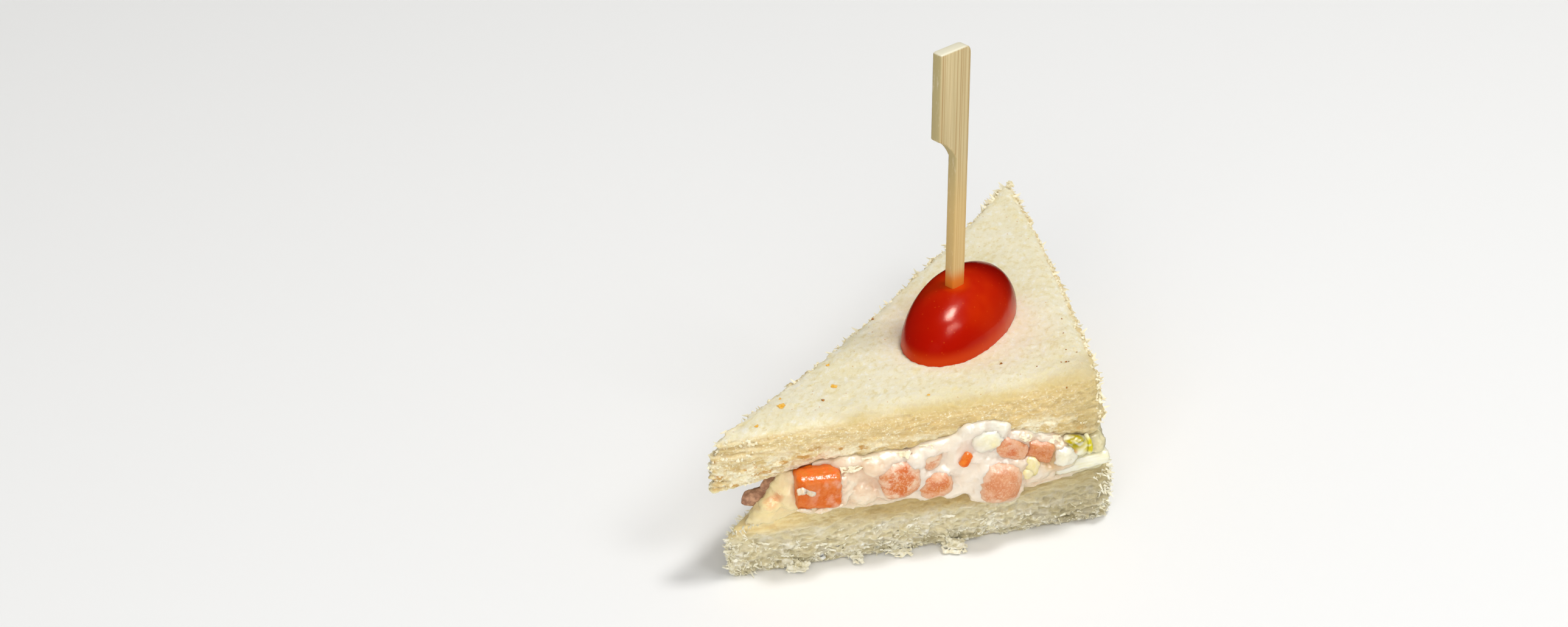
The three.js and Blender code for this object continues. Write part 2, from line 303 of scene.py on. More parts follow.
# %% Finish: a material and short ways to add patterns
class Finish:
    """A material, its shader, and short ways to build patterns in millimetres and to mix colours."""

    def __init__(self, name, **numbers):
        """The numbers go on the shader's own sockets, whose names are written with _ for a space."""
        self.material = bpy.data.materials.new(name)
        self.material.use_nodes = True
        self.tree = self.material.node_tree
        self.shader = self.tree.nodes["Principled BSDF"]
        for socket, value in numbers.items():
            self.shader.inputs[socket.replace("_", " ")].default_value = value
        self.source = self.add("TexCoord")
        self.relief = None

    def add(self, kind, inputs=None, **settings):
        node = self.tree.nodes.new("ShaderNode" + kind)
        for key, value in settings.items():
            setattr(node, key, value)
        for socket, value in (inputs or {}).items():
            self.feed(node.inputs[socket], value)
        return node

    def feed(self, socket, value):
        if isinstance(value, bpy.types.NodeSocket):
            self.tree.links.new(value, socket)
        else:
            socket.default_value = value

    def grid(self, grain=(1, 1, 1), centre=(0, 0, 0), turn=0):
        """Object coordinates counted in grains, whose size along x, y and z is in millimetres."""
        node = self.add("Mapping", {"Vector": self.source.outputs["Object"]}, vector_type="TEXTURE")
        node.inputs["Location"].default_value = Vector(centre)
        node.inputs["Rotation"].default_value = (0, 0, turn)
        node.inputs["Scale"].default_value = Vector(grain) * MM
        return node.outputs["Vector"]

    def cloud(self, size, stretch=(1, 1, 1), detail=3, rough=0.55, twist=0, turn=0):
        grain = [size * s for s in stretch]
        inputs = {"Vector": self.grid(grain, turn=turn), "Scale": 1.0, "Detail": detail, "Roughness": rough}
        return self.add("TexNoise", {**inputs, "Distortion": twist}).outputs["Fac"]

    def cells(self, size, stretch=(1, 1, 1)):
        inputs = {"Vector": self.grid([size * s for s in stretch]), "Scale": 1.0}
        return self.add("TexVoronoi", inputs).outputs["Distance"]

    def attribute(self, name):
        return self.add("Attribute", attribute_name=name).outputs["Fac"]

    def band(self, value, low, high, bottom=0.0, top=1.0):
        """From bottom to top as value goes from low to high, smoothly."""
        inputs = {"Value": value, "From Min": low, "From Max": high, "To Min": bottom, "To Max": top}
        return self.add("MapRange", inputs, interpolation_type="SMOOTHSTEP").outputs["Result"]

    def near(self, place, reach, soft=0.5):
        """1 at a place and 0 far from it; it falls at about reach millimetres, more slowly the softer."""
        distance = self.add("VectorMath", operation="DISTANCE")
        self.feed(distance.inputs[0], self.grid())
        distance.inputs[1].default_value = Vector(place) / MM
        return self.band(distance.outputs["Value"], reach * (1 + soft), reach * (1 - soft * 0.5))

    def times(self, first, second):
        return self.add("Math", {0: first, 1: second}, operation="MULTIPLY", use_clamp=True).outputs["Value"]

    def plus(self, first, second):
        return self.add("Math", {0: first, 1: second}, operation="ADD").outputs["Value"]

    def mix(self, share, first, second, part=1.0):
        """From the first colour, where share is 0, to the second, where it is 1, but only by part."""
        if part != 1:
            share = self.times(share, part)
        node = self.add("Mix", {0: share, 6: first, 7: second}, data_type="RGBA")
        return node.outputs[2]

    def blend(self, pattern, first, second, low=0.35, high=0.65, part=1.0):
        """From the first colour to the second, by part, as a pattern goes from low to high."""
        return self.mix(self.band(pattern, low, high, 0, part), first, second)

    def spot(self, first, second, place, reach, soft=0.5, part=1.0):
        """The second colour, by part, within reach of a place, and the first elsewhere."""
        return self.mix(self.near(place, reach, soft), first, second, part)

    def bump(self, height, deep):
        """Raises the skin by deep millimetres where height is 1."""
        inputs = {"Height": height, "Distance": deep * MM}
        if self.relief is not None:
            inputs["Normal"] = self.relief
        self.relief = self.add("Bump", inputs).outputs["Normal"]
        self.feed(self.shader.inputs["Normal"], self.relief)

    def colour(self, value):
        self.feed(self.shader.inputs["Base Color"], value)

    def on(self, piece):
        piece.data.materials.clear()
        piece.data.materials.append(self.material)


# %% [markdown]
# ## Bread
# Soft white bread with its crust cut off. Its face is pressed smooth, but a cut or torn side shows the
# crumb: small bubbles with thin walls. So the sides get much finer faces than the rest, and only they are
# pushed in and out strongly. A weight called cut tells the sides from the faces.

# %% A slice: even faces, fine ones on the cut sides
def sideways(vertex):
    """0 where the skin faces up or down, 1 where it faces sideways."""
    return smooth_step(abs(vertex.normal.z), 0.95, 0.4)


# The size of a slice's faces in millimetres; on the cut sides they are halved. With finer ones a slice
# would pass 200,000 triangles.
BREAD_FACE = 0.515


def bread_slice(node, name):
    piece = copy_solid(node, name)
    remesh(piece, BREAD_FACE)
    modify(piece, "SMOOTH", factor=0.7, iterations=10)
    with edit_mode(lambda face: abs(face.normal.z) < 0.85):
        bpy.ops.mesh.subdivide(number_cuts=1)
    mark(piece, "cut", sideways, soften=12)
    print(name, "faces", len(piece.data.polygons))
    return piece


def level_in(node):
    """A rule that gives how high a vertex lies in a slice, from 0 at its base to 1 at its top."""
    low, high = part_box(node)
    return lambda vertex: (vertex.co.z - low.z) / (high.z - low.z)


top_slice = bread_slice("bread_top", "top_slice")
bottom_slice = bread_slice("bread_bottom", "bottom_slice")

# %% [markdown]
# The top slice was cut with a sharp knife and pressed, so its upper edge is worn round. Its sides show
# fine bubbles, and its left tip frays into loose layers. The bottom slice tore: its upper part is wet and
# smooth, and its lower part stands out in tufts.

# %% Relief of the top slice
top_level = level_in("bread_top")


def far_from_tips(place):
    """0 at the three tips of the sandwich, 1 from 9 mm on."""
    tips = (at(-6, 1, 0), at(71, 1, 0), at(80, 84, 0))
    near = min((Vector((place.x, place.y, 0)) - tip).length / MM for tip in tips)
    return smooth_step(near, 2, 9)


def frays(place):
    """0 on the front side, 1 towards the back and at the right front corner."""
    return max(smooth_step(place.y, 4, 9), smooth_step(place.x, 68, 72))


mark(top_slice, "worn", lambda v: smooth_step(top_level(v), 0.45, 0.8) * far_from_tips(v.co), soften=3)
modify(top_slice, "SMOOTH", factor=0.7, iterations=44, vertex_group="worn")
mark(top_slice, "crest", sideways, soften=110)
mark(top_slice, "ragged", lambda v: sideways(v) * frays(from_tip(v.co)))
mark(top_slice, "fray", lambda v: sideways(v) * smooth_step(from_tip(v.co).x, 14, -5), soften=3)
mark(top_slice, "under", lambda v: sideways(v) * smooth_step(top_level(v), 0.7, 0.25), soften=3)
roughen(top_slice, (9, 9, 5), 0.7)
roughen(top_slice, (1.4, 1.4, 1.2), 0.4, kind="bubbles", middle=0.4)
roughen(top_slice, (4.5, 4.5, 2.0), 1.2, group="cut")
roughen(top_slice, (5.0, 5.0, 0.8), 0.35, group="cut", depth=3)
roughen(top_slice, (1.6, 1.6, 0.8), 0.5, group="cut", kind="bubbles", middle=0.4)
roughen(top_slice, (8, 8, 0.9), 3.0, group="fray", depth=3)
roughen(top_slice, (2.4, 2.4, 1.1), 1.5, group="under", depth=3)
roughen(top_slice, (2.0, 2.0, 2.4), 1.5, group="ragged", depth=3)
roughen(top_slice, (1.0, 1.0, 1.0), 1.0, group="ragged", depth=2)
print("top slice up to", round(max(v.co.z for v in top_slice.data.vertices) / MM, 1), "mm")

# %% Relief of the bottom slice
bottom_level = level_in("bread_bottom")
mark(bottom_slice, "torn", lambda v: sideways(v) * smooth_step(bottom_level(v), 0.95, 0.38), soften=4)
mark(bottom_slice, "base", lambda v: sideways(v) * smooth_step(bottom_level(v), 0.4, 0.0), soften=2)
roughen(bottom_slice, (9, 9, 4), 0.6)
roughen(bottom_slice, (5, 5, 2.2), 1.2, group="cut")
roughen(bottom_slice, (1.8, 1.8, 0.9), 0.5, group="cut", kind="bubbles", middle=0.4)
roughen(bottom_slice, (3.0, 3.0, 1.8), 2.4, group="torn", middle=0.45)
roughen(bottom_slice, (3.4, 3.4, 1.3), 1.2, group="torn", kind="spikes", depth=2, middle=0.4)
roughen(bottom_slice, (1.1, 1.1, 0.8), 0.7, group="torn", kind="bubbles", middle=0.4)
roughen(bottom_slice, (1.5, 1.5, 1.2), 2.0, group="base", depth=3)
for vertex in bottom_slice.data.vertices:
    vertex.co.z = max(vertex.co.z, 0)
print("bottom slice up to", round(max(v.co.z for v in bottom_slice.data.vertices) / MM, 1), "mm")

# %% [markdown]
# Bread lets light in, which keeps its own shading soft, so shade is painted into the deep crumb and light
# onto the open crumb. Blender's dirt tool measures how deep each point lies and stores it as a colour,
# which the finish reads.

# %% Depth of the crumb
def measure_depth(piece):
    """Stores as the colour attribute depth how open (light) or deep (dark) each vertex lies."""
    work_on(piece)
    piece.data.color_attributes.new("depth", "FLOAT_COLOR", "POINT")
    piece.data.color_attributes.active_color = piece.data.color_attributes["depth"]
    bpy.ops.paint.vertex_color_dirt(blur_strength=0.6, blur_iterations=1, clean_angle=2.8, dirt_angle=0.6)
    bpy.ops.object.mode_set(mode="OBJECT")


for piece in (top_slice, bottom_slice):
    measure_depth(piece)
    bpy.ops.object.shade_smooth()
    print("depth measured on", piece.name)

# %% [markdown]
# The pressed face is cream white with a fine grain, a few brown specks and faint buttery streaks, and is
# a little pink round the tomato. The cut sides are more golden and streaked along the slice, paler
# towards the left tip, with deep pits painted in as dark shade and frayed white crumb low down. Shade is
# painted into the deep crumb and onto the right front corner, which turns away from the light. A darker
# line runs along the crest of the front side, where the edge was pressed.

# %% Finish of the face of the top slice
tomato_low, tomato_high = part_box("tomato_half")
tomato_middle = (tomato_low + tomato_high) / 2
tomato_middle.z = tomato_low.z


def crumb_finish(name, glow=0.85, scatter=1.2):
    """Dull crumb; glow is how much light enters it, scatter how many millimetres deep."""
    return Finish(
        name, Roughness=0.85, Subsurface_Weight=glow, Subsurface_Scale=scatter * MM,
        Subsurface_Radius=(1.0, 0.95, 0.85), Specular_IOR_Level=0.2,
    )


upper = crumb_finish("crumb_top", scatter=0.8)
cut = upper.attribute("cut_mark")
under = upper.attribute("under_mark")
depth = upper.attribute("depth")
soft = upper.cloud(12, detail=2)
grain = upper.cloud(1.1, stretch=(1.5, 1, 1), detail=4, rough=0.65, turn=0.9)
face = upper.blend(soft, paint(248, 242, 216), paint(243, 235, 199), 0.35, 0.7)
face = upper.blend(grain, face, paint(230, 215, 158), 0.5, 0.32, 0.75)
face = upper.blend(grain, face, paint(253, 251, 240), 0.54, 0.66, 0.85)
# Painted shade: the deep crumb of the face is darker.
face = upper.blend(depth, face, paint(220, 200, 150), 0.45, 0.2, 0.25)
specks = upper.cells(2.4)
face = upper.blend(specks, face, paint(206, 150, 70), 0.075, 0.04, 0.8)
butter = upper.cloud(2.6, stretch=(2.2, 1, 1), detail=2, turn=0.6)
face = upper.blend(butter, face, paint(242, 224, 158), 0.64, 0.76, 0.5)
face = upper.spot(face, paint(242, 218, 196), tomato_middle, 15, soft=0.4, part=0.25)

# %% Finish of its cut sides
strands = upper.cloud(0.5, stretch=(7, 7, 1), detail=3, rough=0.6, twist=0.3)
tufts = upper.cloud(1.8, stretch=(1.8, 1.8, 1), detail=3, rough=0.6)
pale_end = upper.near(at(0, 0, 22), 22, soft=0.6)
strand = upper.band(strands, 0.38, 0.6)
golden = upper.mix(strand, paint(218, 197, 144), paint(234, 218, 171), 0.8)
pale = upper.mix(strand, paint(221, 206, 158), paint(236, 226, 189))
side = upper.mix(pale_end, golden, pale)
side = upper.blend(tufts, side, paint(247, 240, 212), 0.55, 0.7, 0.5)
side = upper.blend(tufts, side, paint(226, 200, 142), 0.46, 0.3, 0.6)
# Painted shade: the deep crumb of the sides is darker.
side = upper.blend(depth, side, paint(222, 190, 128), 0.44, 0.12, 0.4)
frayed = upper.times(upper.band(under, 0.1, 0.8), upper.band(tufts, 0.42, 0.58))
side = upper.mix(frayed, side, paint(250, 243, 216), 0.75)
# Painted shade: dark ochre pits low on the cut sides.
pits = upper.cells(2.2, stretch=(2.2, 2.2, 0.7))
pit_shade = upper.times(upper.band(pits, 0.36, 0.24), upper.band(under, 0.1, 0.5))
pit_shade = upper.times(pit_shade, upper.band(tufts, 0.56, 0.46))
side = upper.mix(pit_shade, side, paint(204, 156, 84), 0.9)
crest = upper.attribute("crest_mark")
crest = upper.plus(crest, upper.band(grain, 0.3, 0.7, -0.12, 0.12))
crest = upper.times(upper.band(crest, 0.02, 0.42), upper.band(crest, 1.0, 0.45))
crest = upper.times(crest, upper.band(soft, 0.3, 0.6, 0.25, 0.8))
crest = upper.times(crest, upper.band(pale_end, 1.0, 0.6))
to_back = upper.add("SeparateXYZ", {"Vector": upper.grid(centre=FRONT_LEFT)}).outputs["Y"]
crest = upper.times(crest, upper.band(to_back, 12, 5))
fine = upper.cloud(0.34, stretch=(1.5, 1.5, 1), detail=2)
side = upper.blend(fine, side, paint(253, 248, 226), 0.56, 0.7, 0.7)
side = upper.blend(fine, side, paint(214, 184, 122), 0.44, 0.3, 0.5)
body = upper.blend(cut, face, side, 0.1, 1.0)
body = upper.mix(crest, body, paint(217, 194, 132))
# Painted shade: the right front corner, which turns away from the light, is darker.
upper.colour(upper.spot(body, paint(204, 184, 130), at(75, 0, 25), 9, soft=0.9, part=0.75))
upper.bump(upper.cloud(0.5, detail=4, rough=0.65), 0.2)
upper.bump(upper.times(strands, upper.band(cut, 0.2, 0.8)), 0.16)
upper.on(top_slice)
hand_over(top_slice, "bread", "bread_top")

# %% [markdown]
# The bottom slice is yellowish and damp where it is smooth, and white where it is torn, with painted grey
# shade between the tufts at its base. Light is painted onto its open crumb and shade into its deep crumb.
# Painted shade darkens the middle of its upper part under the overhanging filling, and its lower right
# corner, and the left tip is yellow with dressing.

# %% Finish of the bottom slice
lower = crumb_finish("crumb_bottom")
torn = lower.attribute("torn_mark")
depth = lower.attribute("depth")
fibres = lower.cloud(0.6, stretch=(4, 4, 1), detail=3, rough=0.6, twist=0.3)
tufts = lower.cloud(1.6, stretch=(2, 2, 1), detail=3, rough=0.65)
damp = lower.blend(fibres, paint(200, 180, 130), paint(220, 206, 162), 0.38, 0.62)
fluff = lower.blend(fibres, paint(234, 226, 192), paint(243, 237, 212), 0.38, 0.6)
fluff = lower.blend(tufts, fluff, paint(251, 249, 236), 0.48, 0.6)
# Painted shade in the deep crumb, then painted light on the open crumb.
fluff = lower.blend(depth, fluff, paint(190, 174, 128), 0.4, 0.14, 0.5)
fluff = lower.blend(depth, fluff, paint(254, 253, 243), 0.5, 0.62, 0.95)
fine = lower.cloud(0.34, stretch=(1.5, 1.5, 1), detail=2)
fluff = lower.blend(fine, fluff, paint(204, 190, 146), 0.44, 0.3, 0.35)
gaps = lower.times(lower.attribute("base_mark"), lower.band(tufts, 0.54, 0.4))
fluff = lower.mix(gaps, fluff, paint(156, 146, 112), 0.7)
colour = lower.blend(torn, damp, fluff, 0.05, 0.6)
# Painted shade under the overhanging filling darkens the middle of the upper part.
overhang_shade = lower.times(lower.near(at(40, 0, 10.5), 15, soft=0.7), lower.band(torn, 0.7, 0.15))
colour = lower.mix(overhang_shade, colour, paint(188, 164, 112), 0.75)
buttered = lower.near(at(-1, 0, 13), 11, soft=0.6)
buttered = lower.times(buttered, lower.band(torn, 0.5, 0.05, 0, 0.75))
colour = lower.mix(buttered, colour, paint(247, 225, 168))
# Painted shade: the lower right corner is darker, where the light falls off.
lower.colour(lower.spot(colour, paint(156, 144, 108), at(74, 0, 0), 14, soft=0.9, part=0.5))
lower.bump(lower.cloud(0.5, detail=4, rough=0.65), 0.14)
lower.bump(fibres, 0.16)
lower.on(bottom_slice)
hand_over(bottom_slice, "bread", "bread_bottom")

# %% [markdown]
# ## Torn flakes
# What makes bread look torn is loose: thin flakes that stand off the crumb, with light on their edges and
# shade behind them. Three kinds of flake are made once, from a small grid that is robbed of two corners,
# made uneven, bent and given a thickness. Copies are then laid on the sides, long side level, each tilted,
# turned and scaled a little differently, and joined to one piece. A fixed seed keeps them the same.

# %% Three kinds of flake
# The sizes of a flake are shares of the size that its copies get.
FLAKE_LONG, FLAKE_WIDE, FLAKE_THICK = 1.0, 0.42, 0.10


def flake(seed, curl):
    """A ragged flake at the origin, long along x, facing z and bent by curl degrees."""
    chance = random.Random(seed)
    grid = bpy.ops.mesh.primitive_grid_add
    piece = start(grid, f"flake_{seed}", x_subdivisions=5, y_subdivisions=2, size=1)
    with edit_mode():
        bpy.ops.transform.resize(value=(FLAKE_LONG, FLAKE_WIDE, 1), center_override=(0, 0, 0))
    corners = chance.sample((0, 4, 5, 9), 2)
    with edit_mode(lambda face: face.index in corners):
        bpy.ops.mesh.delete(type="FACE")
    for vertex in piece.data.vertices:
        vertex.co += Vector([chance.uniform(-far, far) for far in (0.08, 0.1, 0.06)])
    modify(piece, "SIMPLE_DEFORM", deform_method="BEND", angle=math.radians(curl), deform_axis="Y")
    modify(piece, "SOLIDIFY", thickness=FLAKE_THICK, offset=0)
    return piece


flake_kinds = [flake(seed, curl) for seed, curl in ((1, 60), (2, -40), (3, 90))]
print("a flake has", len(flake_kinds[0].data.polygons), "faces")


# %% Places on the sides of a slice
def side_places(piece, count, wanted, seed):
    """count places on the sides: a point, the way out and the level way along the side."""
    chance = random.Random(seed)
    faces = [f for f in piece.data.polygons if abs(f.normal.z) < 0.75 and wanted(from_tip(f.center))]
    for face in chance.choices(faces, k=count):
        out = Vector((face.normal.x, face.normal.y, face.normal.z * 0.3)).normalized()
        along = Vector((0, 0, 1)).cross(out).normalized()
        yield face.center.copy(), out, along, chance


# %% Join, copy and lay
def join(copies, name):
    """Makes one piece of the copies."""
    bpy.ops.object.select_all(action="DESELECT")
    for copy in copies:
        copy.select_set(True)
    bpy.context.view_layer.objects.active = copies[0]
    bpy.ops.object.join()
    copies[0].name = name
    return copies[0]


def copy_to(kind, matrix):
    """A copy with its own mesh, whose vertices the matrix moves to their place."""
    copy = bpy.data.objects.new(kind.name, kind.data.copy())
    copy.data.transform(matrix)
    bpy.context.collection.objects.link(copy)
    return copy


def lay(name, kinds, piece, count, wanted, seed, size, stretch, roll, lift=0):
    """Copies of the kinds on the wanted places of a slice, scaled by a size in millimetres, drawn out
    along the side by stretch and tilted by about roll degrees round x, y and z."""
    copies = []
    for point, out, along, chance in side_places(piece, count, wanted, seed):
        scale = chance.uniform(*size) * MM
        turn = Matrix((along, out.cross(along), out)).transposed().to_4x4()
        tilt = Euler([math.radians(chance.gauss(0, angle)) for angle in roll]).to_matrix().to_4x4()
        shape = Matrix.Diagonal((scale * chance.uniform(*stretch), scale, scale, 1))
        place = Matrix.Translation(point + out * lift * MM) @ turn @ tilt @ shape
        copies.append(copy_to(chance.choice(kinds), place))
    print(f"{name}: {len(copies)} copies")
    laid = join(copies, name)
    for vertex in laid.data.vertices:
        vertex.co.z = max(vertex.co.z, 0)
    return laid


# %% Flakes and ridges
bottom_flakes = lay(
    "bottom_flakes", flake_kinds, bottom_slice, 300, lambda p: p.z < 5, seed=11,
    size=(0.5, 1.2), stretch=(0.8, 1.5), roll=(24, 12, 14),
)
ridges = lay(
    "bottom_ridges", flake_kinds, bottom_slice, 190, lambda p: 2 < p.z < 7.5 and p.x < 76 - 4 * p.z, seed=13,
    size=(0.8, 1.4), stretch=(1.4, 3.0), roll=(10, 3, 4),
)
top_flakes = lay(
    "top_flakes", flake_kinds, top_slice, 220, lambda p: p.z < 23.5, seed=12,
    size=(0.4, 0.9), stretch=(1.2, 2.4), roll=(10, 5, 7),
)

# %% [markdown]
# The edges are not clean either. Against the light they bristle with tiny torn points and crumbs, most of
# all round the base and at the tips. A point is a thin three-sided cone, a crumb a small rough ball.

# %% Bristles and crumbs along the edges
cone = bpy.ops.mesh.primitive_cone_add
bristle = start(cone, "bristle", vertices=3, radius1=0.5, radius2=0.08, depth=1.9, location=(0, 0, 0.8))
bpy.ops.object.transform_apply()
grit = start(bpy.ops.mesh.primitive_ico_sphere_add, "crumb_bit", subdivisions=2, radius=0.5)
for vertex in grit.data.vertices:
    vertex.co *= 0.75 + 0.5 * noise.noise(vertex.co * 3)
print("a bristle has", len(bristle.data.polygons), "faces, a crumb", len(grit.data.polygons))


def at_left_tip(place):
    return place.x < 3


def at_right_corner(place):
    return place.x > 70 and place.y < 14


def on_top_edge(place):
    return place.z > 22 and (place.y > 5 or place.x > 70) or at_left_tip(place)


# %% Lay the bristles
bottom_bristles = lay(
    "bottom_bristles", [bristle, bristle, grit], bottom_slice, 900, lambda p: p.z < 3.2, seed=21,
    size=(0.22, 0.5), stretch=(0.6, 1.2), roll=(26, 26, 40),
)
tip_bristles = lay(
    "tip_bristles", [bristle], bottom_slice, 420, lambda p: at_left_tip(p) or at_right_corner(p), seed=22,
    size=(0.35, 0.8), stretch=(0.6, 1.0), roll=(20, 20, 40),
)
top_bristles = lay(
    "top_bristles", [bristle, grit, grit, grit], top_slice, 1800, on_top_edge, seed=23,
    size=(0.4, 0.9), stretch=(0.6, 1.2), roll=(26, 26, 40), lift=0.1,
)
back_bristles = lay(
    "back_bristles", [bristle, grit], top_slice, 260, lambda p: p.z > 24 and p.y > 74, seed=24,
    size=(0.5, 1.1), stretch=(0.6, 1.2), roll=(26, 26, 40), lift=0.1,
)

# %% [markdown]
# Under the front side, the bottom slice let go in rags and tufts a few millimetres long that lie on the
# table. A tuft is a ball drawn out flat whose skin is pushed out in spikes. A rag is a small grid robbed of
# cells by a noise, given a thickness, rounded and crumpled.

# %% A tuft
def tuft(seed, long, wide, high):
    """A fluffy clump in millimetres, long along x, at the origin."""
    piece = start(bpy.ops.mesh.primitive_ico_sphere_add, "tuft", subdivisions=5, radius=0.5 * MM)
    # Each tuft is roughened at another place of the pattern, so that no two are alike.
    aside = Vector((seed * 20 * MM, 0, 0))
    with edit_mode():
        bpy.ops.transform.resize(value=(long, wide, high), center_override=(0, 0, 0))
        bpy.ops.transform.translate(value=aside)
    roughen(piece, (1.6, 1.2, 0.8), 1.8, kind="spikes", middle=0.35)
    roughen(piece, (0.5, 0.5, 0.4), 0.55, kind="spikes", middle=0.4)
    piece.data.transform(Matrix.Translation(-aside))
    return piece


# %% A rag
# The pattern that waves the rags starts from a seed, so that they come out the same every time.
noise.seed_set(1)


def rag(seed, long, wide):
    """A lacy shred in millimetres, flat on z, with its root at y 0 and its end at y -wide."""
    grid = bpy.ops.mesh.primitive_grid_add
    piece = start(grid, "rag", x_subdivisions=9, y_subdivisions=7, size=1, location=(0, -0.5, 0))
    bpy.ops.object.transform_apply()

    def torn_out(face):
        far = -face.center.y + abs(face.center.x)
        lace = noise.noise(face.center * 5.5 + Vector((seed * 7.3, 0, 0)))
        return lace > 0.1 + 0.55 * (1 - far)

    with edit_mode(torn_out):
        bpy.ops.mesh.delete(type="FACE")
    with edit_mode():
        bpy.ops.transform.resize(value=(long * MM, wide * MM, MM), center_override=(0, 0, 0))
    for vertex in piece.data.vertices:
        wave = noise.noise_vector(vertex.co / MM * 0.9 + Vector((0, seed * 3.1, 0)))
        vertex.co += Vector((wave.x * 0.5, wave.y * 0.5, wave.z * 0.9)) * MM
    modify(piece, "SOLIDIFY", thickness=0.32 * MM, offset=0)
    modify(piece, "SUBSURF", levels=1, render_levels=1)
    roughen(piece, (0.5, 0.5, 0.5), 0.4)
    return piece


# %% Tufts and rags of the bottom slice
# Where each lies along the front, how far in, how high, and its size; all rags lie 0.9 mm high.
TUFTS = [
    (10.3, 0.2, 0.9, 4.6, 2.4, 1.6), (13.5, 0.9, 1.2, 3.0, 1.6, 1.4), (22.4, 0.2, 0.9, 2.4, 2.0, 1.2),
    (30.6, 0.6, 1.2, 5.4, 2.0, 1.6), (36.0, 0.7, 1.0, 3.0, 1.8, 1.3), (41.5, -0.9, 0.9, 4.6, 2.6, 1.5),
    (49.0, 0.9, 2.4, 4.4, 1.4, 1.8), (57.0, 1.0, 1.0, 3.2, 1.2, 1.2), (4.5, 0.9, 1.0, 3.2, 1.4, 1.4),
]
RAGS = [(10.3, -0.4, 4.4, 2.2), (22.4, -0.4, 2.6, 2.6), (30.6, -0.2, 5.6, 2.2), (41.3, -1.6, 5.2, 2.6)]


def put_down(piece, x, y, z, slope=0):
    """Turns a piece a little, puts it at a place and keeps it above the table."""
    turn = Euler((math.radians(slope), 0, math.radians(14 * math.sin(x)))).to_matrix().to_4x4()
    piece.data.transform(Matrix.Translation(at(x, y, z)) @ turn)
    for vertex in piece.data.vertices:
        vertex.co.z = max(vertex.co.z, 0.05 * MM)
    return piece


pieces = [put_down(tuft(n + 1, *size), x, y, z) for n, (x, y, z, *size) in enumerate(TUFTS)]
pieces += [put_down(rag(n + 1, *size), x, y, 0.9, slope=12) for n, (x, y, *size) in enumerate(RAGS)]
bottom_rags = join(pieces, "bottom_rags")
print("bottom_rags:", len(pieces), "pieces")

# %% [markdown]
# The top slice hangs in a few rags over the filling, steeper than those on the table, and its back tip
# ends in a knot of crumb.

# %% Rags of the top slice
# Where each hangs along the front, how far in, how high, and its length and width.
TOP_RAGS = [
    (20.6, -1.3, 22.4, 5.0, 1.6), (24.8, -1.0, 23.2, 4.4, 1.4), (30.0, -0.9, 23.4, 4.6, 1.3),
    (36.4, -0.8, 24.0, 3.8, 1.2), (54.4, -0.8, 23.2, 4.4, 1.2), (60.6, -0.5, 21.6, 4.4, 1.4),
]
pieces = [put_down(rag(n + 5, *size), x, y, z, slope=64) for n, (x, y, z, *size) in enumerate(TOP_RAGS)]
pieces.append(put_down(tuft(12, 1.9, 1.9, 1.6), 79.9, 82.4, 31.2))
pieces.append(put_down(tuft(14, 1.4, 1.4, 1.2), 79.2, 80.8, 31.5))
top_rags = join(pieces, "top_rags")
print("top_rags:", len(pieces), "pieces")

# %% [markdown]
# A few crumbs stuck to the top face: flat orange ones, and smaller brown ones from a crust. Each is a
# small ball pressed flat onto the face.

# %% Crumbs stuck to the top
def stuck(kind, places, flat=0.35):
    """Copies of a kind pressed onto the top face, at x and y, with the size given, in millimetres."""
    face_tree = BVHTree.FromObject(top_slice, bpy.context.evaluated_depsgraph_get())
    copies = []
    for x, y, wide in places:
        foot = face_tree.ray_cast(at(x, y, 50), Vector((0, 0, -1)))[0]
        shape = Matrix.Diagonal((wide * MM, wide * 0.7 * MM, wide * flat * MM, 1))
        turn = Euler((0, 0, x)).to_matrix().to_4x4()
        copies.append(copy_to(kind, Matrix.Translation(foot) @ turn @ shape))
    return copies


ORANGE_CRUMBS = [
    (9.7, 8.8, 2.3), (3.6, 3.6, 1.3), (10.4, 11.9, 0.9),
    (21.2, 12.8, 1.9), (22.4, 21.1, 1.2), (37.6, 4.4, 1.0),
]
BROWN_CRUMBS = [
    (17.9, 8.4, 1.0), (54.3, 11.4, 0.9), (64.0, 0.9, 0.7), (67.7, 12.0, 0.5), (69.5, 10.9, 0.5),
    (66.1, 7.5, 0.7), (65.2, 7.8, 0.5), (60.3, 7.8, 0.5), (69.5, 18.6, 0.5), (35.7, 35.4, 1.0),
    (71.2, 24.5, 0.5), (66.6, 7.4, 0.4),
]
orange_crumbs = join(stuck(grit, ORANGE_CRUMBS), "orange_crumbs")
brown_crumbs = join(stuck(grit, BROWN_CRUMBS, flat=0.6), "brown_crumbs")
for piece, name, light, dark in (
    (orange_crumbs, "orange_crumb", paint(244, 196, 92), paint(232, 168, 44)),
    (brown_crumbs, "brown_crumb", paint(190, 130, 56), paint(140, 84, 34)),
):
    toasted = crumb_finish(name, glow=0)
    toasted.colour(toasted.blend(toasted.cloud(0.7), dark, light))
    toasted.bump(toasted.cloud(0.3), 0.1)
    toasted.on(piece)
    hand_over(piece, "bread")

# %% [markdown]
# Loose crumb is thin and catches the light, so it is paler than the slice that it stands on. Every flake
# is an island of its own in the joined mesh, and its random number makes it a little lighter or darker.

# %% Finish of the flakes, bristles and rags
def flake_finish(name, light, dark):
    finish = crumb_finish(name, glow=0)
    island = finish.add("NewGeometry").outputs["Random Per Island"]
    blotch = finish.cloud(1.2, detail=3, rough=0.65)
    shade = finish.blend(blotch, dark, light)
    finish.colour(finish.mix(island, shade, light, 0.5))
    finish.bump(finish.cloud(0.4, detail=3, rough=0.7), 0.12)
    return finish


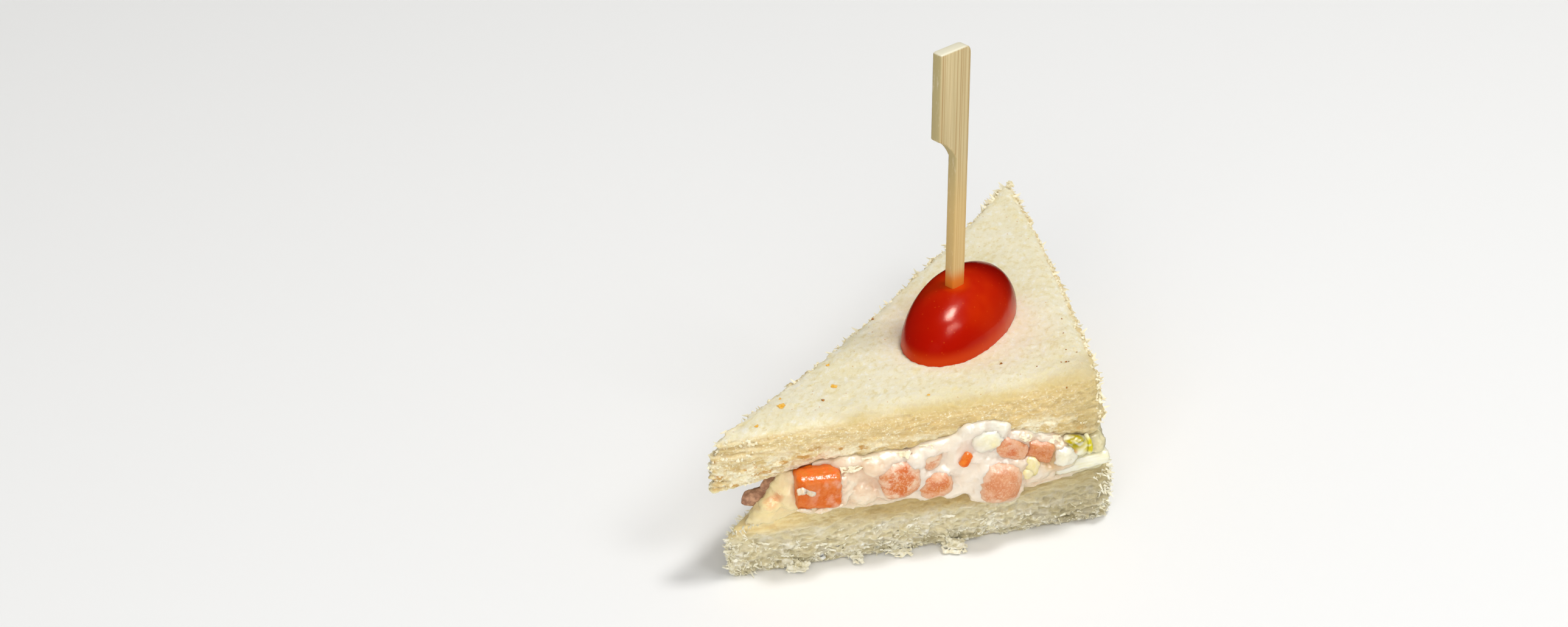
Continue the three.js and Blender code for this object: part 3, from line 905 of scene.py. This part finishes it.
pale_flake = flake_finish("flake_bottom", paint(250, 247, 230), paint(232, 223, 188))
warm_flake = flake_finish("flake_top", paint(250, 243, 216), paint(243, 230, 190))
for piece in (bottom_flakes, ridges, bottom_bristles, tip_bristles, bottom_rags):
    pale_flake.on(piece)
    hand_over(piece, "bread")
for piece in (top_flakes, top_bristles, back_bristles, top_rags):
    warm_flake.on(piece)
    hand_over(piece, "bread")

# %% [markdown]
# ## Tomato
# Half a grape tomato, cut along its length and laid cut side down. A ball, stretched to its size, has the
# right even skin, where a faceted solid would break the gloss. A little of the Cast modifier makes it
# plumper. It is cut in half, and dented where the pick goes in.

# %% Half tomato
TOMATO_TURN = math.radians(48)
tomato_size = Vector((35.2, 18.9, 22.2)) * MM
pick_foot = at(49.5, 26.6, 0)
tomato = start(bpy.ops.mesh.primitive_uv_sphere_add, "tomato", segments=96, ring_count=64, radius=0.5)
modify(tomato, "CAST", cast_type="CUBOID", factor=0.035, size=0.5)
with edit_mode():
    bpy.ops.transform.rotate(value=math.radians(90), orient_axis="Y", center_override=(0, 0, 0))
    bpy.ops.transform.resize(value=tomato_size, center_override=(0, 0, 0))
    bpy.ops.mesh.bisect(plane_co=(0, 0, 0.02 * MM), plane_no=(0, 0, -1), use_fill=True, clear_outer=True)
with edit_mode():
    bpy.ops.transform.rotate(value=-TOMATO_TURN, orient_axis="Z", center_override=(0, 0, 0))
    bpy.ops.transform.translate(value=(tomato_middle.x, tomato_middle.y, tomato_low.z - 0.4 * MM))


def from_pick(place):
    """How far a place is from the middle line of the pick, in millimetres."""
    return Vector((place.x - pick_foot.x, place.y - pick_foot.y, 0)).length / MM


def dented(vertex):
    """1 round the pick on top of the tomato, 0 from 3.8 mm on and at its cut face."""
    return smooth_step(from_pick(vertex.co), 3.8, 1.2) * smooth_step(vertex.co.z, tomato_low.z, tomato_high.z)


mark(tomato, "dent", dented)
modify(tomato, "DISPLACE", strength=-0.6 * MM, mid_level=0, vertex_group="dent")
bpy.ops.object.shade_smooth()
print("tomato of", [round(v / MM, 1) for v in tomato_size], "mm before the cut")

# %% [markdown]
# The skin is tight and smooth, so its gloss is clear, with a red tint. Painted light makes it brightest in
# the middle, painted shade darkest at the back and its edges, and a painted glow makes it paler along its
# cut rim; it is paler round the pick too, and has faint freckles.

# %% Skin of the tomato
skin = Finish("tomato_skin", Roughness=0.22, IOR=1.26, Specular_Tint=(1, 0.66, 0.54, 1))
ripe = skin.cloud(8, detail=2)
red = skin.blend(ripe, paint(184, 24, 0), paint(198, 42, 0), 0.35, 0.7)
# Painted light in the middle of the skin, and painted shade away from it.
bright = skin.near(tomato_middle + Vector((0, 0, 8)) * MM, 9, soft=0.9)
red = skin.mix(bright, paint(170, 14, 0), red)
red = skin.mix(skin.attribute("dent_mark"), red, paint(218, 84, 6), 0.5)
red = skin.spot(red, paint(186, 32, 0), at(60, 22, 34), 5, soft=0.8)
# Painted shade at the back of the tomato.
red = skin.spot(red, paint(138, 8, 0), at(60, 38, 38), 8, soft=0.7)
# Painted glow: a brighter orange along the cut rim.
up = skin.add("SeparateXYZ", {"Vector": skin.grid()}).outputs["Z"]
red = skin.blend(up, red, paint(216, 72, 14), 35.0, 32.4, 0.6)
freckles = skin.cells(1.3)
red = skin.blend(freckles, red, paint(226, 104, 34), 0.16, 0.05, 0.25)
skin.colour(red)
skin.bump(skin.cloud(5, detail=1), 0.15)
skin.bump(skin.cloud(0.5, detail=2), 0.012)
skin.on(tomato)
hand_over(tomato, "tomato_skin", "tomato_half")

# %% [markdown]
# ## Pick
# A flat bamboo pick is split from the stalk along its fibres. Its flat sides show the fibres as fine
# straight lines, darker where a bundle runs, and its left narrow side is the rounded outside of the stalk.
# The solid has the right outline, so its edges are rounded and it gets fibres along its length.

# %% Bamboo pick
PICK_TURN = math.radians(27)
pick = copy_solid("pick", "bamboo_pick")
with edit_mode():
    bpy.ops.mesh.dissolve_limited(angle_limit=math.radians(2))
modify(pick, "BEVEL", width=0.36 * MM, segments=3, limit_method="ANGLE", angle_limit=math.radians(50))
leftwards = Vector((-math.cos(PICK_TURN), -math.sin(PICK_TURN), 0))
mark(pick, "bark", lambda v: smooth_step(v.normal.dot(leftwards), 0.5, 0.9))
work_on(pick)
bpy.ops.object.shade_smooth_by_angle(angle=math.radians(35))
print("pick up to", round(max(v.co.z for v in pick.data.vertices) / MM, 1), "mm")

# %% Fibres
bamboo = Finish("bamboo", Roughness=0.5, Specular_IOR_Level=0.25)
inside = bamboo.add("SeparateXYZ", {"Vector": bamboo.grid(centre=pick_foot, turn=PICK_TURN)})
drift = bamboo.cloud(1.0, stretch=(3, 3, 60), detail=2, turn=PICK_TURN)
fine = bamboo.cloud(0.22, stretch=(1, 1, 120), detail=3, turn=PICK_TURN)
across = bamboo.plus(inside.outputs["X"], bamboo.band(drift, 0.2, 0.8, -0.12, 0.12))
wood = bamboo.blend(drift, paint(204, 186, 140), paint(214, 195, 149), 0.35, 0.7)
wood = bamboo.blend(fine, wood, paint(186, 158, 108), 0.55, 0.35, 0.5)


def fibre_line(wood, place, wide, share):
    """A darker bundle of fibres at place millimetres across the pick, counted from the shaft's middle."""
    off = bamboo.add("Math", {0: across, 1: place}, operation="SUBTRACT")
    apart = bamboo.add("Math", {0: off.outputs[0]}, operation="ABSOLUTE").outputs[0]
    return bamboo.blend(apart, wood, paint(170, 126, 66), wide, wide * 0.4, share)


# Bundles across the paddle: two near its left edge, the rest over the shaft.
BUNDLES = [
    (-5.8, 0.14, 0.8), (-5.2, 0.12, 0.6), (-1.95, 0.12, 0.7), (-1.0, 0.12, 0.7), (-0.55, 0.1, 0.6),
    (0.1, 0.1, 0.5), (1.1, 0.12, 0.6),
]
for bundle in BUNDLES:
    wood = fibre_line(wood, *bundle)

# %% [markdown]
# The left narrow side is the stalk's greyer outside, with pale flecks. The height above the table sets the
# rest: the shaft is warmer than the paddle, orange where it enters the tomato, and the cut top end is pale.

# %% Bark, stain and cut end
bark = bamboo.attribute("bark_mark")
flecks = bamboo.cloud(0.5, stretch=(1, 1, 4), detail=3)
bark_wood = bamboo.blend(flecks, paint(186, 170, 122), paint(214, 202, 168), 0.55, 0.7, 0.7)
wood = bamboo.mix(bark, wood, bark_wood)
height = inside.outputs["Z"]
wood = bamboo.blend(height, wood, paint(226, 188, 118), 74, 56, 0.55)
wood = bamboo.blend(height, wood, paint(222, 128, 34), 46.5, 43, 0.95)
specks = bamboo.cells(1.1, stretch=(0.35, 0.35, 1.2))
wood = bamboo.blend(specks, wood, paint(150, 108, 62), 0.07, 0.03, 0.6)
wood = bamboo.blend(height, wood, paint(232, 226, 200), 93.0, 93.3)
bamboo.colour(wood)
bamboo.bump(fine, 0.06)
bamboo.on(pick)
hand_over(pick, "bamboo", "pick")

# %% [markdown]
# ## Filling
# Tuna mashed with mayonnaise is a wet, lumpy cream, beige pink where tomato juice has got into it and
# whiter where the mayonnaise is thick. It thins to a yellow smear over the left tip. The chopped pieces sit
# in it: the cream rises round each like a collar and laps over some rims, and the pieces stand proud of
# it. To get this, the filling, a swollen copy of each piece set a little back, and lumps of cream are
# fused by the remesh. Only the first cube on the left has no collar: it stands in the open.

# %% The chopped pieces and the side each looks out of
FRONT_SIDE, RIGHT_SIDE, BACK_SIDE = Vector((0, -1, 0)), Vector((1, 0, 0)), Vector((-0.7, 0.72, 0))
chopped = [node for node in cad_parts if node.startswith(("tomato_dice", "egg_white"))]
OUTWARDS = {node: FRONT_SIDE for node in chopped}
OUTWARDS |= {node: RIGHT_SIDE for node in ("tomato_dice_8", "tomato_dice_9", "egg_white_3")}
OUTWARDS |= {node: BACK_SIDE for node in ("tomato_dice_10", "tomato_dice_11", "egg_white_4")}
print("chopped pieces:", len(OUTWARDS))


# %% A bit: a ball stretched, turned and roughened
def bit(place, size, lean=0, lump=0.35, grain=1.2, swing=0, boxy=0.0):
    """A lumpy ball at a place, size along x, y and z, all in millimetres. It leans in the plane of the
    front and swings round z by degrees, and boxy draws it towards a block, from 0 to 1."""
    piece = start(bpy.ops.mesh.primitive_ico_sphere_add, "bit", subdivisions=4, radius=0.5)
    if boxy:
        modify(piece, "CAST", cast_type="CUBOID", factor=boxy, size=0.5)
    with edit_mode():
        bpy.ops.transform.resize(value=Vector(size) * MM, center_override=(0, 0, 0))
        for axis, angle in (("Y", lean), ("Z", swing)):
            # With no window, rotate turns the other way, hence the minus.
            if angle:
                turned = -math.radians(angle)
                bpy.ops.transform.rotate(value=turned, orient_axis=axis, center_override=(0, 0, 0))
        bpy.ops.transform.translate(value=at(*place))
    roughen(piece, (grain, grain, grain), lump)
    bpy.ops.object.shade_smooth()
    return piece


# %% Lumps of cream
# Each has its place, its size and how many degrees it leans in the plane of the front: first what closes
# the gap under the top slice, then a cushion round the egg white that shows in front, then what fills in
# between the cubes.
LUMPS = [
    ((20.5, 0.1, 22.0), (6, 3, 2.6), 0), ((28, -0.1, 21.9), (10, 3, 2.6), 0),
    ((37, -0.1, 22.6), (10, 3, 2.6), -10), ((54.2, 0.2, 22.2), (8, 2.6, 2.6), 10),
    ((59.6, 0.6, 21.0), (7, 2.4, 2.0), 14),
    ((44.4, 0.1, 24.8), (6.6, 3.0, 3.8), -34), ((48.6, 0.1, 25.0), (7.4, 2.8, 3.6), 16),
    ((47.0, 0.1, 22.4), (9.0, 3.0, 4.2), 0), ((42.0, -0.3, 22.6), (4.8, 2.8, 4.4), 24),
    ((43.4, -0.9, 26.0), (2.4, 2.0, 1.6), -20), ((46.6, -0.8, 26.4), (3.0, 1.8, 1.4), 0),
    ((50.8, -0.8, 24.6), (2.4, 2.0, 3.6), 40), ((45.4, -1.0, 20.2), (6.0, 2.4, 2.2), 14),
    ((41.6, -1.0, 19.2), (3.6, 2.4, 6.4), 10), ((44.6, -1.0, 16.6), (5.4, 2.4, 4.6), 20),
    ((44.2, -1.2, 13.8), (4.4, 2.2, 3.0), 0), ((57.6, -1.2, 14.6), (6.0, 2.4, 3.4), -6),
    ((63.0, -0.6, 15.4), (6.0, 2.2, 2.8), -6), ((33.5, -1.0, 20.9), (4.0, 2.2, 2.6), 30),
    ((25.2, -1.5, 20.8), (5.0, 2.0, 2.6), 30), ((34.6, -1.3, 17.6), (2.4, 2.0, 4.4), -30),
    ((40.6, -1.6, 13.4), (4.0, 2.2, 2.6), 0), ((23.0, -0.8, 15.6), (6.0, 3.2, 5.0), 0),
    ((19.5, -0.8, 18.6), (4.0, 3.2, 5.0), 0), ((11.0, 0.8, 19.0), (5.0, 3.0, 2.6), 14),
    ((18.6, -1.9, 17.2), (2.8, 2.6, 6.2), 4), ((14.6, -2.0, 14.9), (8.4, 2.6, 2.0), 0),
    ((9.4, -0.2, 16.4), (4.6, 3.0, 5.0), -20), ((5.4, 0.4, 15.0), (4.0, 3.4, 3.0), -30),
]
print("lumps of cream:", len(LUMPS))

# %% Body of the cream
lumps = [copy_solid("filling", "filling_cream")]
for node, outwards in OUTWARDS.items():
    if node == "tomato_dice_1":
        continue
    collar = modify(copy_solid(node, "collar"), "DISPLACE", strength=0.8 * MM, mid_level=0)
    with edit_mode():
        bpy.ops.transform.translate(value=outwards * -1.6 * MM)
    lumps.append(collar)
lumps += [bit(*row) for row in LUMPS]
cream = join(lumps, "filling_cream")
remesh(cream, 0.4)
modify(cream, "SMOOTH", factor=0.6, iterations=14)
modify(cream, "DISPLACE", strength=0.4 * MM, mid_level=0)


def lumpy(vertex):
    """1 on the sides of the cream and all over the smear at the left tip, 0 inside the sandwich."""
    return max(smooth_step(abs(vertex.normal.z), 0.95, 0.6), smooth_step(from_tip(vertex.co).x, 13, 8))


mark(cream, "rim", lumpy)
roughen(cream, (4.5, 4.5, 3.2), 1.0, group="rim")
roughen(cream, (2.4, 2.4, 1.6), 1.0, group="rim")
roughen(cream, (1.0, 1.0, 0.7), 0.5, group="rim")
roughen(cream, (0.5, 0.5, 0.4), 0.12, group="rim")
print("cream faces", len(cream.data.polygons))

# %% [markdown]
# Two marks tell the finish where the cream is white with plain mayonnaise, and where juice has got into
# it, close to the cubes of tomato.

# %% Where the cream is white and where it is juicy
# Ovals of plain mayonnaise on the front: their middle along x and z, their reach to the sides and up.
WHITES = [(46.8, 22.8, 8, 6), (42, 19, 4.5, 4), (45, 15, 4, 3.5), (58, 15, 3, 2), (34, 21, 3.5, 1.5)]


def whiteness(vertex):
    """1 in the ovals of plain mayonnaise, whose outlines a noise makes wavy, and 0 elsewhere."""
    place = from_tip(vertex.co)
    place += Vector((1, 0, 1)) * noise.noise(place * 0.5) * 2
    if place.y >= 3:
        return 0
    offs = [Vector(((place.x - x) / wide, (place.z - z) / high)).length for x, z, wide, high in WHITES]
    return smooth_step(min(offs), 1.15, 0.65)


mark(cream, "mayo", whiteness, soften=2)


def closeness(target, near, far):
    """A rule: 1 where a vertex lies within near millimetres of the target's skin, 0 from far on."""
    tree = BVHTree.FromObject(target, bpy.context.evaluated_depsgraph_get())
    reach = 6 * MM
    return lambda vertex: smooth_step((tree.find_nearest(vertex.co, reach)[3] or reach) / MM, far, near)


cubes = join([copy_solid(node, "cubes") for node in OUTWARDS if node.startswith("tomato")], "cubes")
mark(cream, "juice", closeness(cubes, 0.3, 2.2), soften=2)
bpy.data.objects.remove(cubes)
work_on(cream)
bpy.ops.object.shade_smooth()
for name in ("mayo_mark", "juice_mark"):
    values = [item.value for item in cream.data.attributes[name].data]
    print(name, "on", round(sum(values) / len(values), 3), "of the cream")

# %% [markdown]
# Everything in the filling is wet, so one function makes all its finishes: a soft skin that lets light in,
# under a thin clear coat with fine ripples, which break the gloss into small glints. On the cream, a slow
# swirl and fine strands vary the colour, and the marks say where it is white or pink with juice.

# %% Finish of the cream
def wet(name, gloss=0.35, **numbers):
    """A soft wet skin that glints where its fine relief catches the light."""
    numbers = {
        "Roughness": 0.3, "Specular_IOR_Level": 0.3, "Subsurface_Weight": 0.6, "Subsurface_Scale": 0.0016,
        "Subsurface_Radius": (1.0, 0.93, 0.85), **numbers,
    }
    finish = Finish(name, Coat_Weight=gloss, Coat_Roughness=0.09, **numbers)
    ripple = finish.cloud(0.65, detail=2, rough=0.6)
    drops = finish.add("Bump", {"Height": ripple, "Distance": 0.3 * MM}).outputs["Normal"]
    finish.feed(finish.shader.inputs["Coat Normal"], drops)
    return finish


mayo = wet("tuna_cream", gloss=0.6, Subsurface_Scale=0.0024)
swirl = mayo.cloud(3.0, stretch=(1.6, 1.6, 1), detail=3, twist=0.6)
strands = mayo.cloud(0.8, stretch=(2, 2, 1), detail=3, rough=0.6)
paste = mayo.blend(swirl, paint(239, 212, 182), paint(246, 229, 204), 0.38, 0.62)
paste = mayo.blend(strands, paste, paint(234, 198, 166), 0.55, 0.75, 0.5)
juice = mayo.attribute("juice_mark")
paste = mayo.mix(juice, paste, paint(241, 207, 180), 0.4)
white = mayo.attribute("mayo_mark")
whites = mayo.blend(swirl, paint(234, 220, 200), paint(241, 236, 216), 0.4, 0.62)
paste = mayo.mix(white, paste, mayo.mix(juice, whites, paint(243, 214, 194), 0.4))
# Spots where it is white, clear and tan, and one of painted light where it is brightest: place, reach,
# softness, part and colour.
for place, reach, soft, part, tone in (
    ((44, -2, 15), 4, 0.8, 0.7, (242, 230, 208)), ((71, 0, 17), 6, 0.5, 0.9, (220, 211, 168)),
    ((60.5, -1, 17.2), 2.2, 0.8, 0.8, (214, 178, 122)), ((40, -1, 19), 9, 0.7, 0.8, (250, 234, 216)),
):
    paste = mayo.spot(paste, paint(*tone), at(*place), reach, soft, part)
smear = mayo.times(mayo.near(at(0, 0, 12), 10, soft=0.95), mayo.band(swirl, 0.3, 0.6, 0.8, 1.0))
paste = mayo.mix(smear, paste, paint(249, 226, 172))
# Two specks of orange in the smear.
for place, reach, part, tone in (
    ((6.1, -1, 17.3), 0.9, 0.7, (226, 140, 84)), ((4.9, -1, 16.4), 1.2, 0.5, (232, 160, 104)),
):
    speck = mayo.times(mayo.near(at(*place), reach, soft=0.9), mayo.band(strands, 0.35, 0.5))
    paste = mayo.mix(speck, paste, paint(*tone), part)
mayo.colour(paste)
mayo.bump(mayo.cloud(0.8, stretch=(1.5, 1.5, 1), detail=3), 0.16)
mayo.on(cream)
hand_over(cream, "filling", "filling")

# %% [markdown]
# ## Diced tomato
# Small cubes of tomato flesh, wet and half clear, with a thin coat of cream that leaves a grainy pink bloom
# on most of them and hides their rims. One function dresses every cube: rounder or crisper edges, a
# slightly uneven skin, and a finish whose orange and cream are set cube by cube.

# %% Shape of a chopped piece
def chopped_piece(node, name, rounding, voxel=0.34, lump=0.3, plump=0):
    """A copy of a solid with even faces of voxel millimetres, smoothed as often as rounding says and
    drawn towards a ball by plump, from 0 to 1."""
    piece = copy_solid(node, name)
    remesh(piece, voxel)
    if plump:
        low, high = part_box(node)
        middle = bpy.data.objects.new("middle", None)
        bpy.context.collection.objects.link(middle)
        middle.location = (low + high) / 2
        modify(piece, "CAST", object=middle, cast_type="SPHERE", factor=plump)
        bpy.data.objects.remove(middle)
    modify(piece, "SMOOTH", factor=0.6, iterations=rounding)
    # Smoothing makes a piece smaller, so it is swollen a little.
    modify(piece, "DISPLACE", strength=(0.12 + rounding * 0.006) * MM, mid_level=0)
    mark(piece, "rim", closeness(cream, 0.1, 1.4), soften=3)
    roughen(piece, (2.4, 2.4, 2.0), lump)
    roughen(piece, (0.9, 0.9, 0.8), lump * 0.5)
    roughen(piece, (1.6, 1.6, 1.4), 0.5, group="rim")
    work_on(piece)
    bpy.ops.object.shade_smooth()
    return piece


# %% [markdown]
# The first cube stands in the open, crisper than the others, so it gets finer faces. Its top is clean and
# bright, but cream fogs its front.

# %% The first cube
def fogged(vertex):
    """1 on the front of the first cube, 0 on its top and on the rim of it."""
    return smooth_step(vertex.normal.z, 0.75, 0.3) * smooth_step(from_tip(vertex.co).z, 21.9, 21.2)


first_cube = chopped_piece("tomato_dice_1", "dice_1", 4, voxel=0.2)
mark(first_cube, "front", fogged)
first = Finish(
    "tomato_flesh_first", Roughness=0.35, Coat_Weight=0.08, Coat_Roughness=0.12,
    Subsurface_Weight=0.25, Subsurface_Radius=(1.0, 0.5, 0.3), Subsurface_Scale=0.0016,
)
mottle = first.cloud(1.5, detail=3, twist=0.6)
grains = first.cells(0.4)
front = first.blend(mottle, paint(220, 104, 22), paint(228, 124, 54), 0.35, 0.6)
front = first.blend(grains, front, paint(232, 150, 96), 0.35, 0.15, 0.3)
fog = first.near(at(17.6, -3.8, 17.6), 4.0, soft=0.9)
fog = first.times(fog, first.band(first.cloud(2.2, detail=3), 0.42, 0.66, 0, 0.65))
front = first.mix(fog, front, paint(240, 190, 160))
top = first.blend(mottle, paint(238, 108, 2), paint(230, 120, 14))
first.colour(first.mix(first.attribute("front_mark"), top, front))
first.bump(grains, 0.05)
first.on(first_cube)
hand_over(first_cube, "tomato_flesh", "tomato_dice_1")

# %% Finish of the other cubes
def flesh(name, bright, pale, coated):
    """bright and pale are the two colours of the flesh, coated how much cream covers it, from 0 to 1."""
    finish = wet(name, gloss=0.2, Subsurface_Weight=0.3, Subsurface_Radius=(1.0, 0.6, 0.4))
    body = finish.cloud(2.2, detail=2)
    grains = finish.cells(0.5)
    speckle = finish.cloud(0.4, detail=3, rough=0.7)
    film = finish.cloud(1.8, stretch=(1.4, 1.4, 1), detail=3, twist=0.5)
    rim = finish.attribute("rim_mark")
    torn_rim = finish.band(finish.times(rim, finish.band(film, 0.3, 0.7, 0.4, 1.3)), 0.2, 0.85)
    bloom = paint(236, 192, 158)
    colour = finish.blend(body, bright, pale, 0.3, 0.7)
    colour = finish.blend(grains, colour, bloom, 0.35, 0.15, 0.25 + 0.5 * coated)
    colour = finish.blend(speckle, colour, bloom, 0.48, 0.64, 0.3 + 0.4 * coated)
    colour = finish.mix(torn_rim, colour, paint(240, 206, 176), 0.25 + 0.7 * coated)
    bare = 0.3 * coated
    finish.colour(finish.blend(film, colour, paint(240, 214, 184), 0.76 - bare, 0.9 - bare, 0.8))
    finish.bump(speckle, 0.1)
    return finish


VIVID = (paint(232, 96, 0), paint(222, 108, 8))
ORANGE = (paint(212, 108, 46), paint(218, 138, 80))
ROSE = (paint(214, 138, 92), paint(224, 160, 118))
BROWN = (paint(204, 104, 26), paint(212, 130, 56))
# For each cube: its colours, how much cream covers it, how often it is smoothed and how plump it is.
DICE_LOOKS = {
    2: (ORANGE, 0.7, 40, 0.4), 3: (ORANGE, 0.5, 30, 0.3), 4: (ROSE, 0.9, 40, 0.2), 5: (ROSE, 0.6, 40, 0.55),
    6: (ORANGE, 0.4, 24, 0), 7: (BROWN, 0.05, 16, 0), 8: (ORANGE, 0.5, 40, 0.3), 9: (ROSE, 0.6, 40, 0.3),
    10: (VIVID, 0.2, 12, 0), 11: (ORANGE, 0.5, 40, 0.3),
}
for number, (colours, coated, rounding, plump) in DICE_LOOKS.items():
    cube = chopped_piece(f"tomato_dice_{number}", f"dice_{number}", rounding, plump=plump)
    flesh(f"tomato_flesh_{number}", *colours, coated).on(cube)
    hand_over(cube, "tomato_flesh", f"tomato_dice_{number}")

# %% [markdown]
# ## Egg white and salad
# Pale chunks of egg white, wet, with a thin coat of cream, and a rib of crisp salad that is half clear.

# %% Egg white
egg = wet("egg_white", gloss=0.3)
milk = egg.cloud(2.5, detail=2)
white = egg.blend(milk, paint(247, 233, 178), paint(250, 241, 206))
egg.colour(egg.mix(egg.attribute("rim_mark"), white, paint(243, 237, 218)))
egg.bump(egg.cloud(0.8, detail=3), 0.12)
for number in range(1, 5):
    chunk = chopped_piece(f"egg_white_{number}", f"egg_{number}", 30, lump=0.9, plump=0.12)
    egg.on(chunk)
    hand_over(chunk, "egg_white", f"egg_white_{number}")

# %% Rib of salad
leaf = wet("salad_rib", gloss=0.3, Subsurface_Scale=0.0025, Subsurface_Radius=(1.0, 1.0, 0.6))
veins = leaf.cloud(0.5, stretch=(12, 1, 1), detail=2)
leaf.colour(leaf.blend(veins, paint(243, 236, 202), paint(250, 245, 222)))
leaf.bump(veins, 0.12)
rib = chopped_piece("salad_rib", "rib", 6)
leaf.on(rib)
hand_over(rib, "salad", "salad_rib")

# %% [markdown]
# ## Small bits
# Between the big pieces sit smaller ones: a dab of cream, a chip of carrot, a curl of pale leaf with a
# yellow rim, clear yellow jelly, and brown onion in the gap on the left. Each starts as a ball at its
# place, is stretched and turned, and gets an uneven skin. What shares a finish is joined to one piece.

# %% A dab of cream that runs down the front of the first cube
def heap(name, *rows):
    """Bits joined to one piece; a row is a bit's place, size, lean, lump and grain."""
    return join([bit(*row) for row in rows], name)


run = heap(
    "cream_dab",
    ((10.4, -4.0, 19.7), (2.2, 0.9, 1.5), 10, 1.0, 1.2),
    ((11.8, -4.0, 19.3), (2.6, 0.8, 1.3), 24, 1.0, 1.2),
    ((13.2, -3.9, 18.8), (2.2, 0.6, 0.7), 14, 0.7, 1.0),
    ((17.7, -3.3, 18.8), (1.6, 1.0, 4.6), 6, 0.6, 1.4),
    ((15.6, -3.9, 15.0), (5.6, 0.9, 1.0), -8, 0.7, 1.4),
    ((11.0, -3.8, 15.2), (3.4, 0.9, 0.9), 16, 0.6, 1.2),
)
dab = wet("cream_dab", gloss=0.5)
dab.colour(dab.blend(dab.cloud(0.8), paint(240, 206, 168), paint(247, 228, 204)))
dab.on(run)
hand_over(run, "filling")

# %% Chip of carrot
chip = bit((42.9, -3.0, 20.8), (3.0, 1.4, 1.7), -60, lump=0.8, grain=2.0, swing=14, boxy=0.5)
chip.name = "carrot_chip"
carrot = wet("carrot", gloss=0.3, Subsurface_Weight=0.2)
carrot.colour(carrot.blend(carrot.cloud(0.9), paint(232, 104, 20), paint(240, 136, 50)))
carrot.on(chip)
hand_over(chip, "filling")

# %% Curl of yellow leaf
curl = heap(
    "leaf_curl",
    ((66.4, -0.9, 19.0), (5.4, 3.4, 3.8), 14, 0.9, 1.8),
    ((68.2, -0.8, 18.8), (1.8, 3.0, 4.4), -10, 0.5, 1.4),
    ((65.4, -0.9, 20.4), (4.4, 3.0, 1.6), 6, 0.5, 1.4),
)
yellow = wet("yellow_leaf", gloss=0.4)
patch = yellow.cloud(2.0, detail=2)
shade = yellow.blend(patch, paint(244, 236, 196), paint(248, 243, 216), 0.4, 0.6)
lemon = yellow.near(at(68.8, -2.0, 19.2), 1.6, soft=0.7)
lemon = yellow.times(lemon, yellow.band(patch, 0.35, 0.5))
shade = yellow.mix(lemon, shade, paint(232, 210, 36))
olive = yellow.near(at(65.2, -2.0, 20.9), 1.8, soft=0.6)
olive = yellow.times(olive, yellow.band(yellow.cloud(1.8, detail=1), 0.4, 0.55))
shade = yellow.spot(shade, paint(222, 140, 60), at(64.6, -2.4, 18.6), 0.7, soft=0.8, part=0.8)
yellow.colour(yellow.mix(olive, shade, paint(186, 168, 0)))
yellow.on(curl)
hand_over(curl, "salad")

# %% Clear yellow jelly
jelly = heap(
    "tomato_jelly",
    ((56.6, -2.0, 16.4), (3.2, 2.0, 4.2), -18, 0.9, 1.6),
    ((55.6, -2.4, 15.2), (2.4, 1.6, 2.4), 0, 0.6, 1.6),
)
seedy = wet("tomato_jelly", gloss=0.5, Subsurface_Weight=0.25, Subsurface_Radius=(1.0, 0.9, 0.4))
seedy.colour(seedy.blend(seedy.cloud(1.4), paint(240, 222, 148), paint(246, 230, 184)))
seedy.on(jelly)
hand_over(jelly, "filling")

# %% Brown onion in the gap
onion = heap(
    "onion",
    ((4.6, 4.6, 14.8), (8.0, 3.8, 3.0), -20, 1.6, 2.4),
    ((7.6, 4.0, 18.2), (7.0, 3.4, 2.6), -26, 1.4, 2.4),
    ((32.8, -0.9, 22.3), (4.2, 1.2, 0.9), 24, 0.4, 0.9),
)
fried = wet("onion", gloss=0.4)
tint = fried.cloud(1.2, detail=3)
fried.colour(fried.blend(tint, paint(160, 118, 94), paint(208, 164, 134)))
fried.on(onion)
hand_over(onion, "filling")

# %% [markdown]
# The flakes, the bristle and the crumb that were copied are no pieces of the sandwich, so they go.

# %% Put the patterns for copies away
for kind in (*flake_kinds, bristle, grit):
    bpy.data.objects.remove(kind)
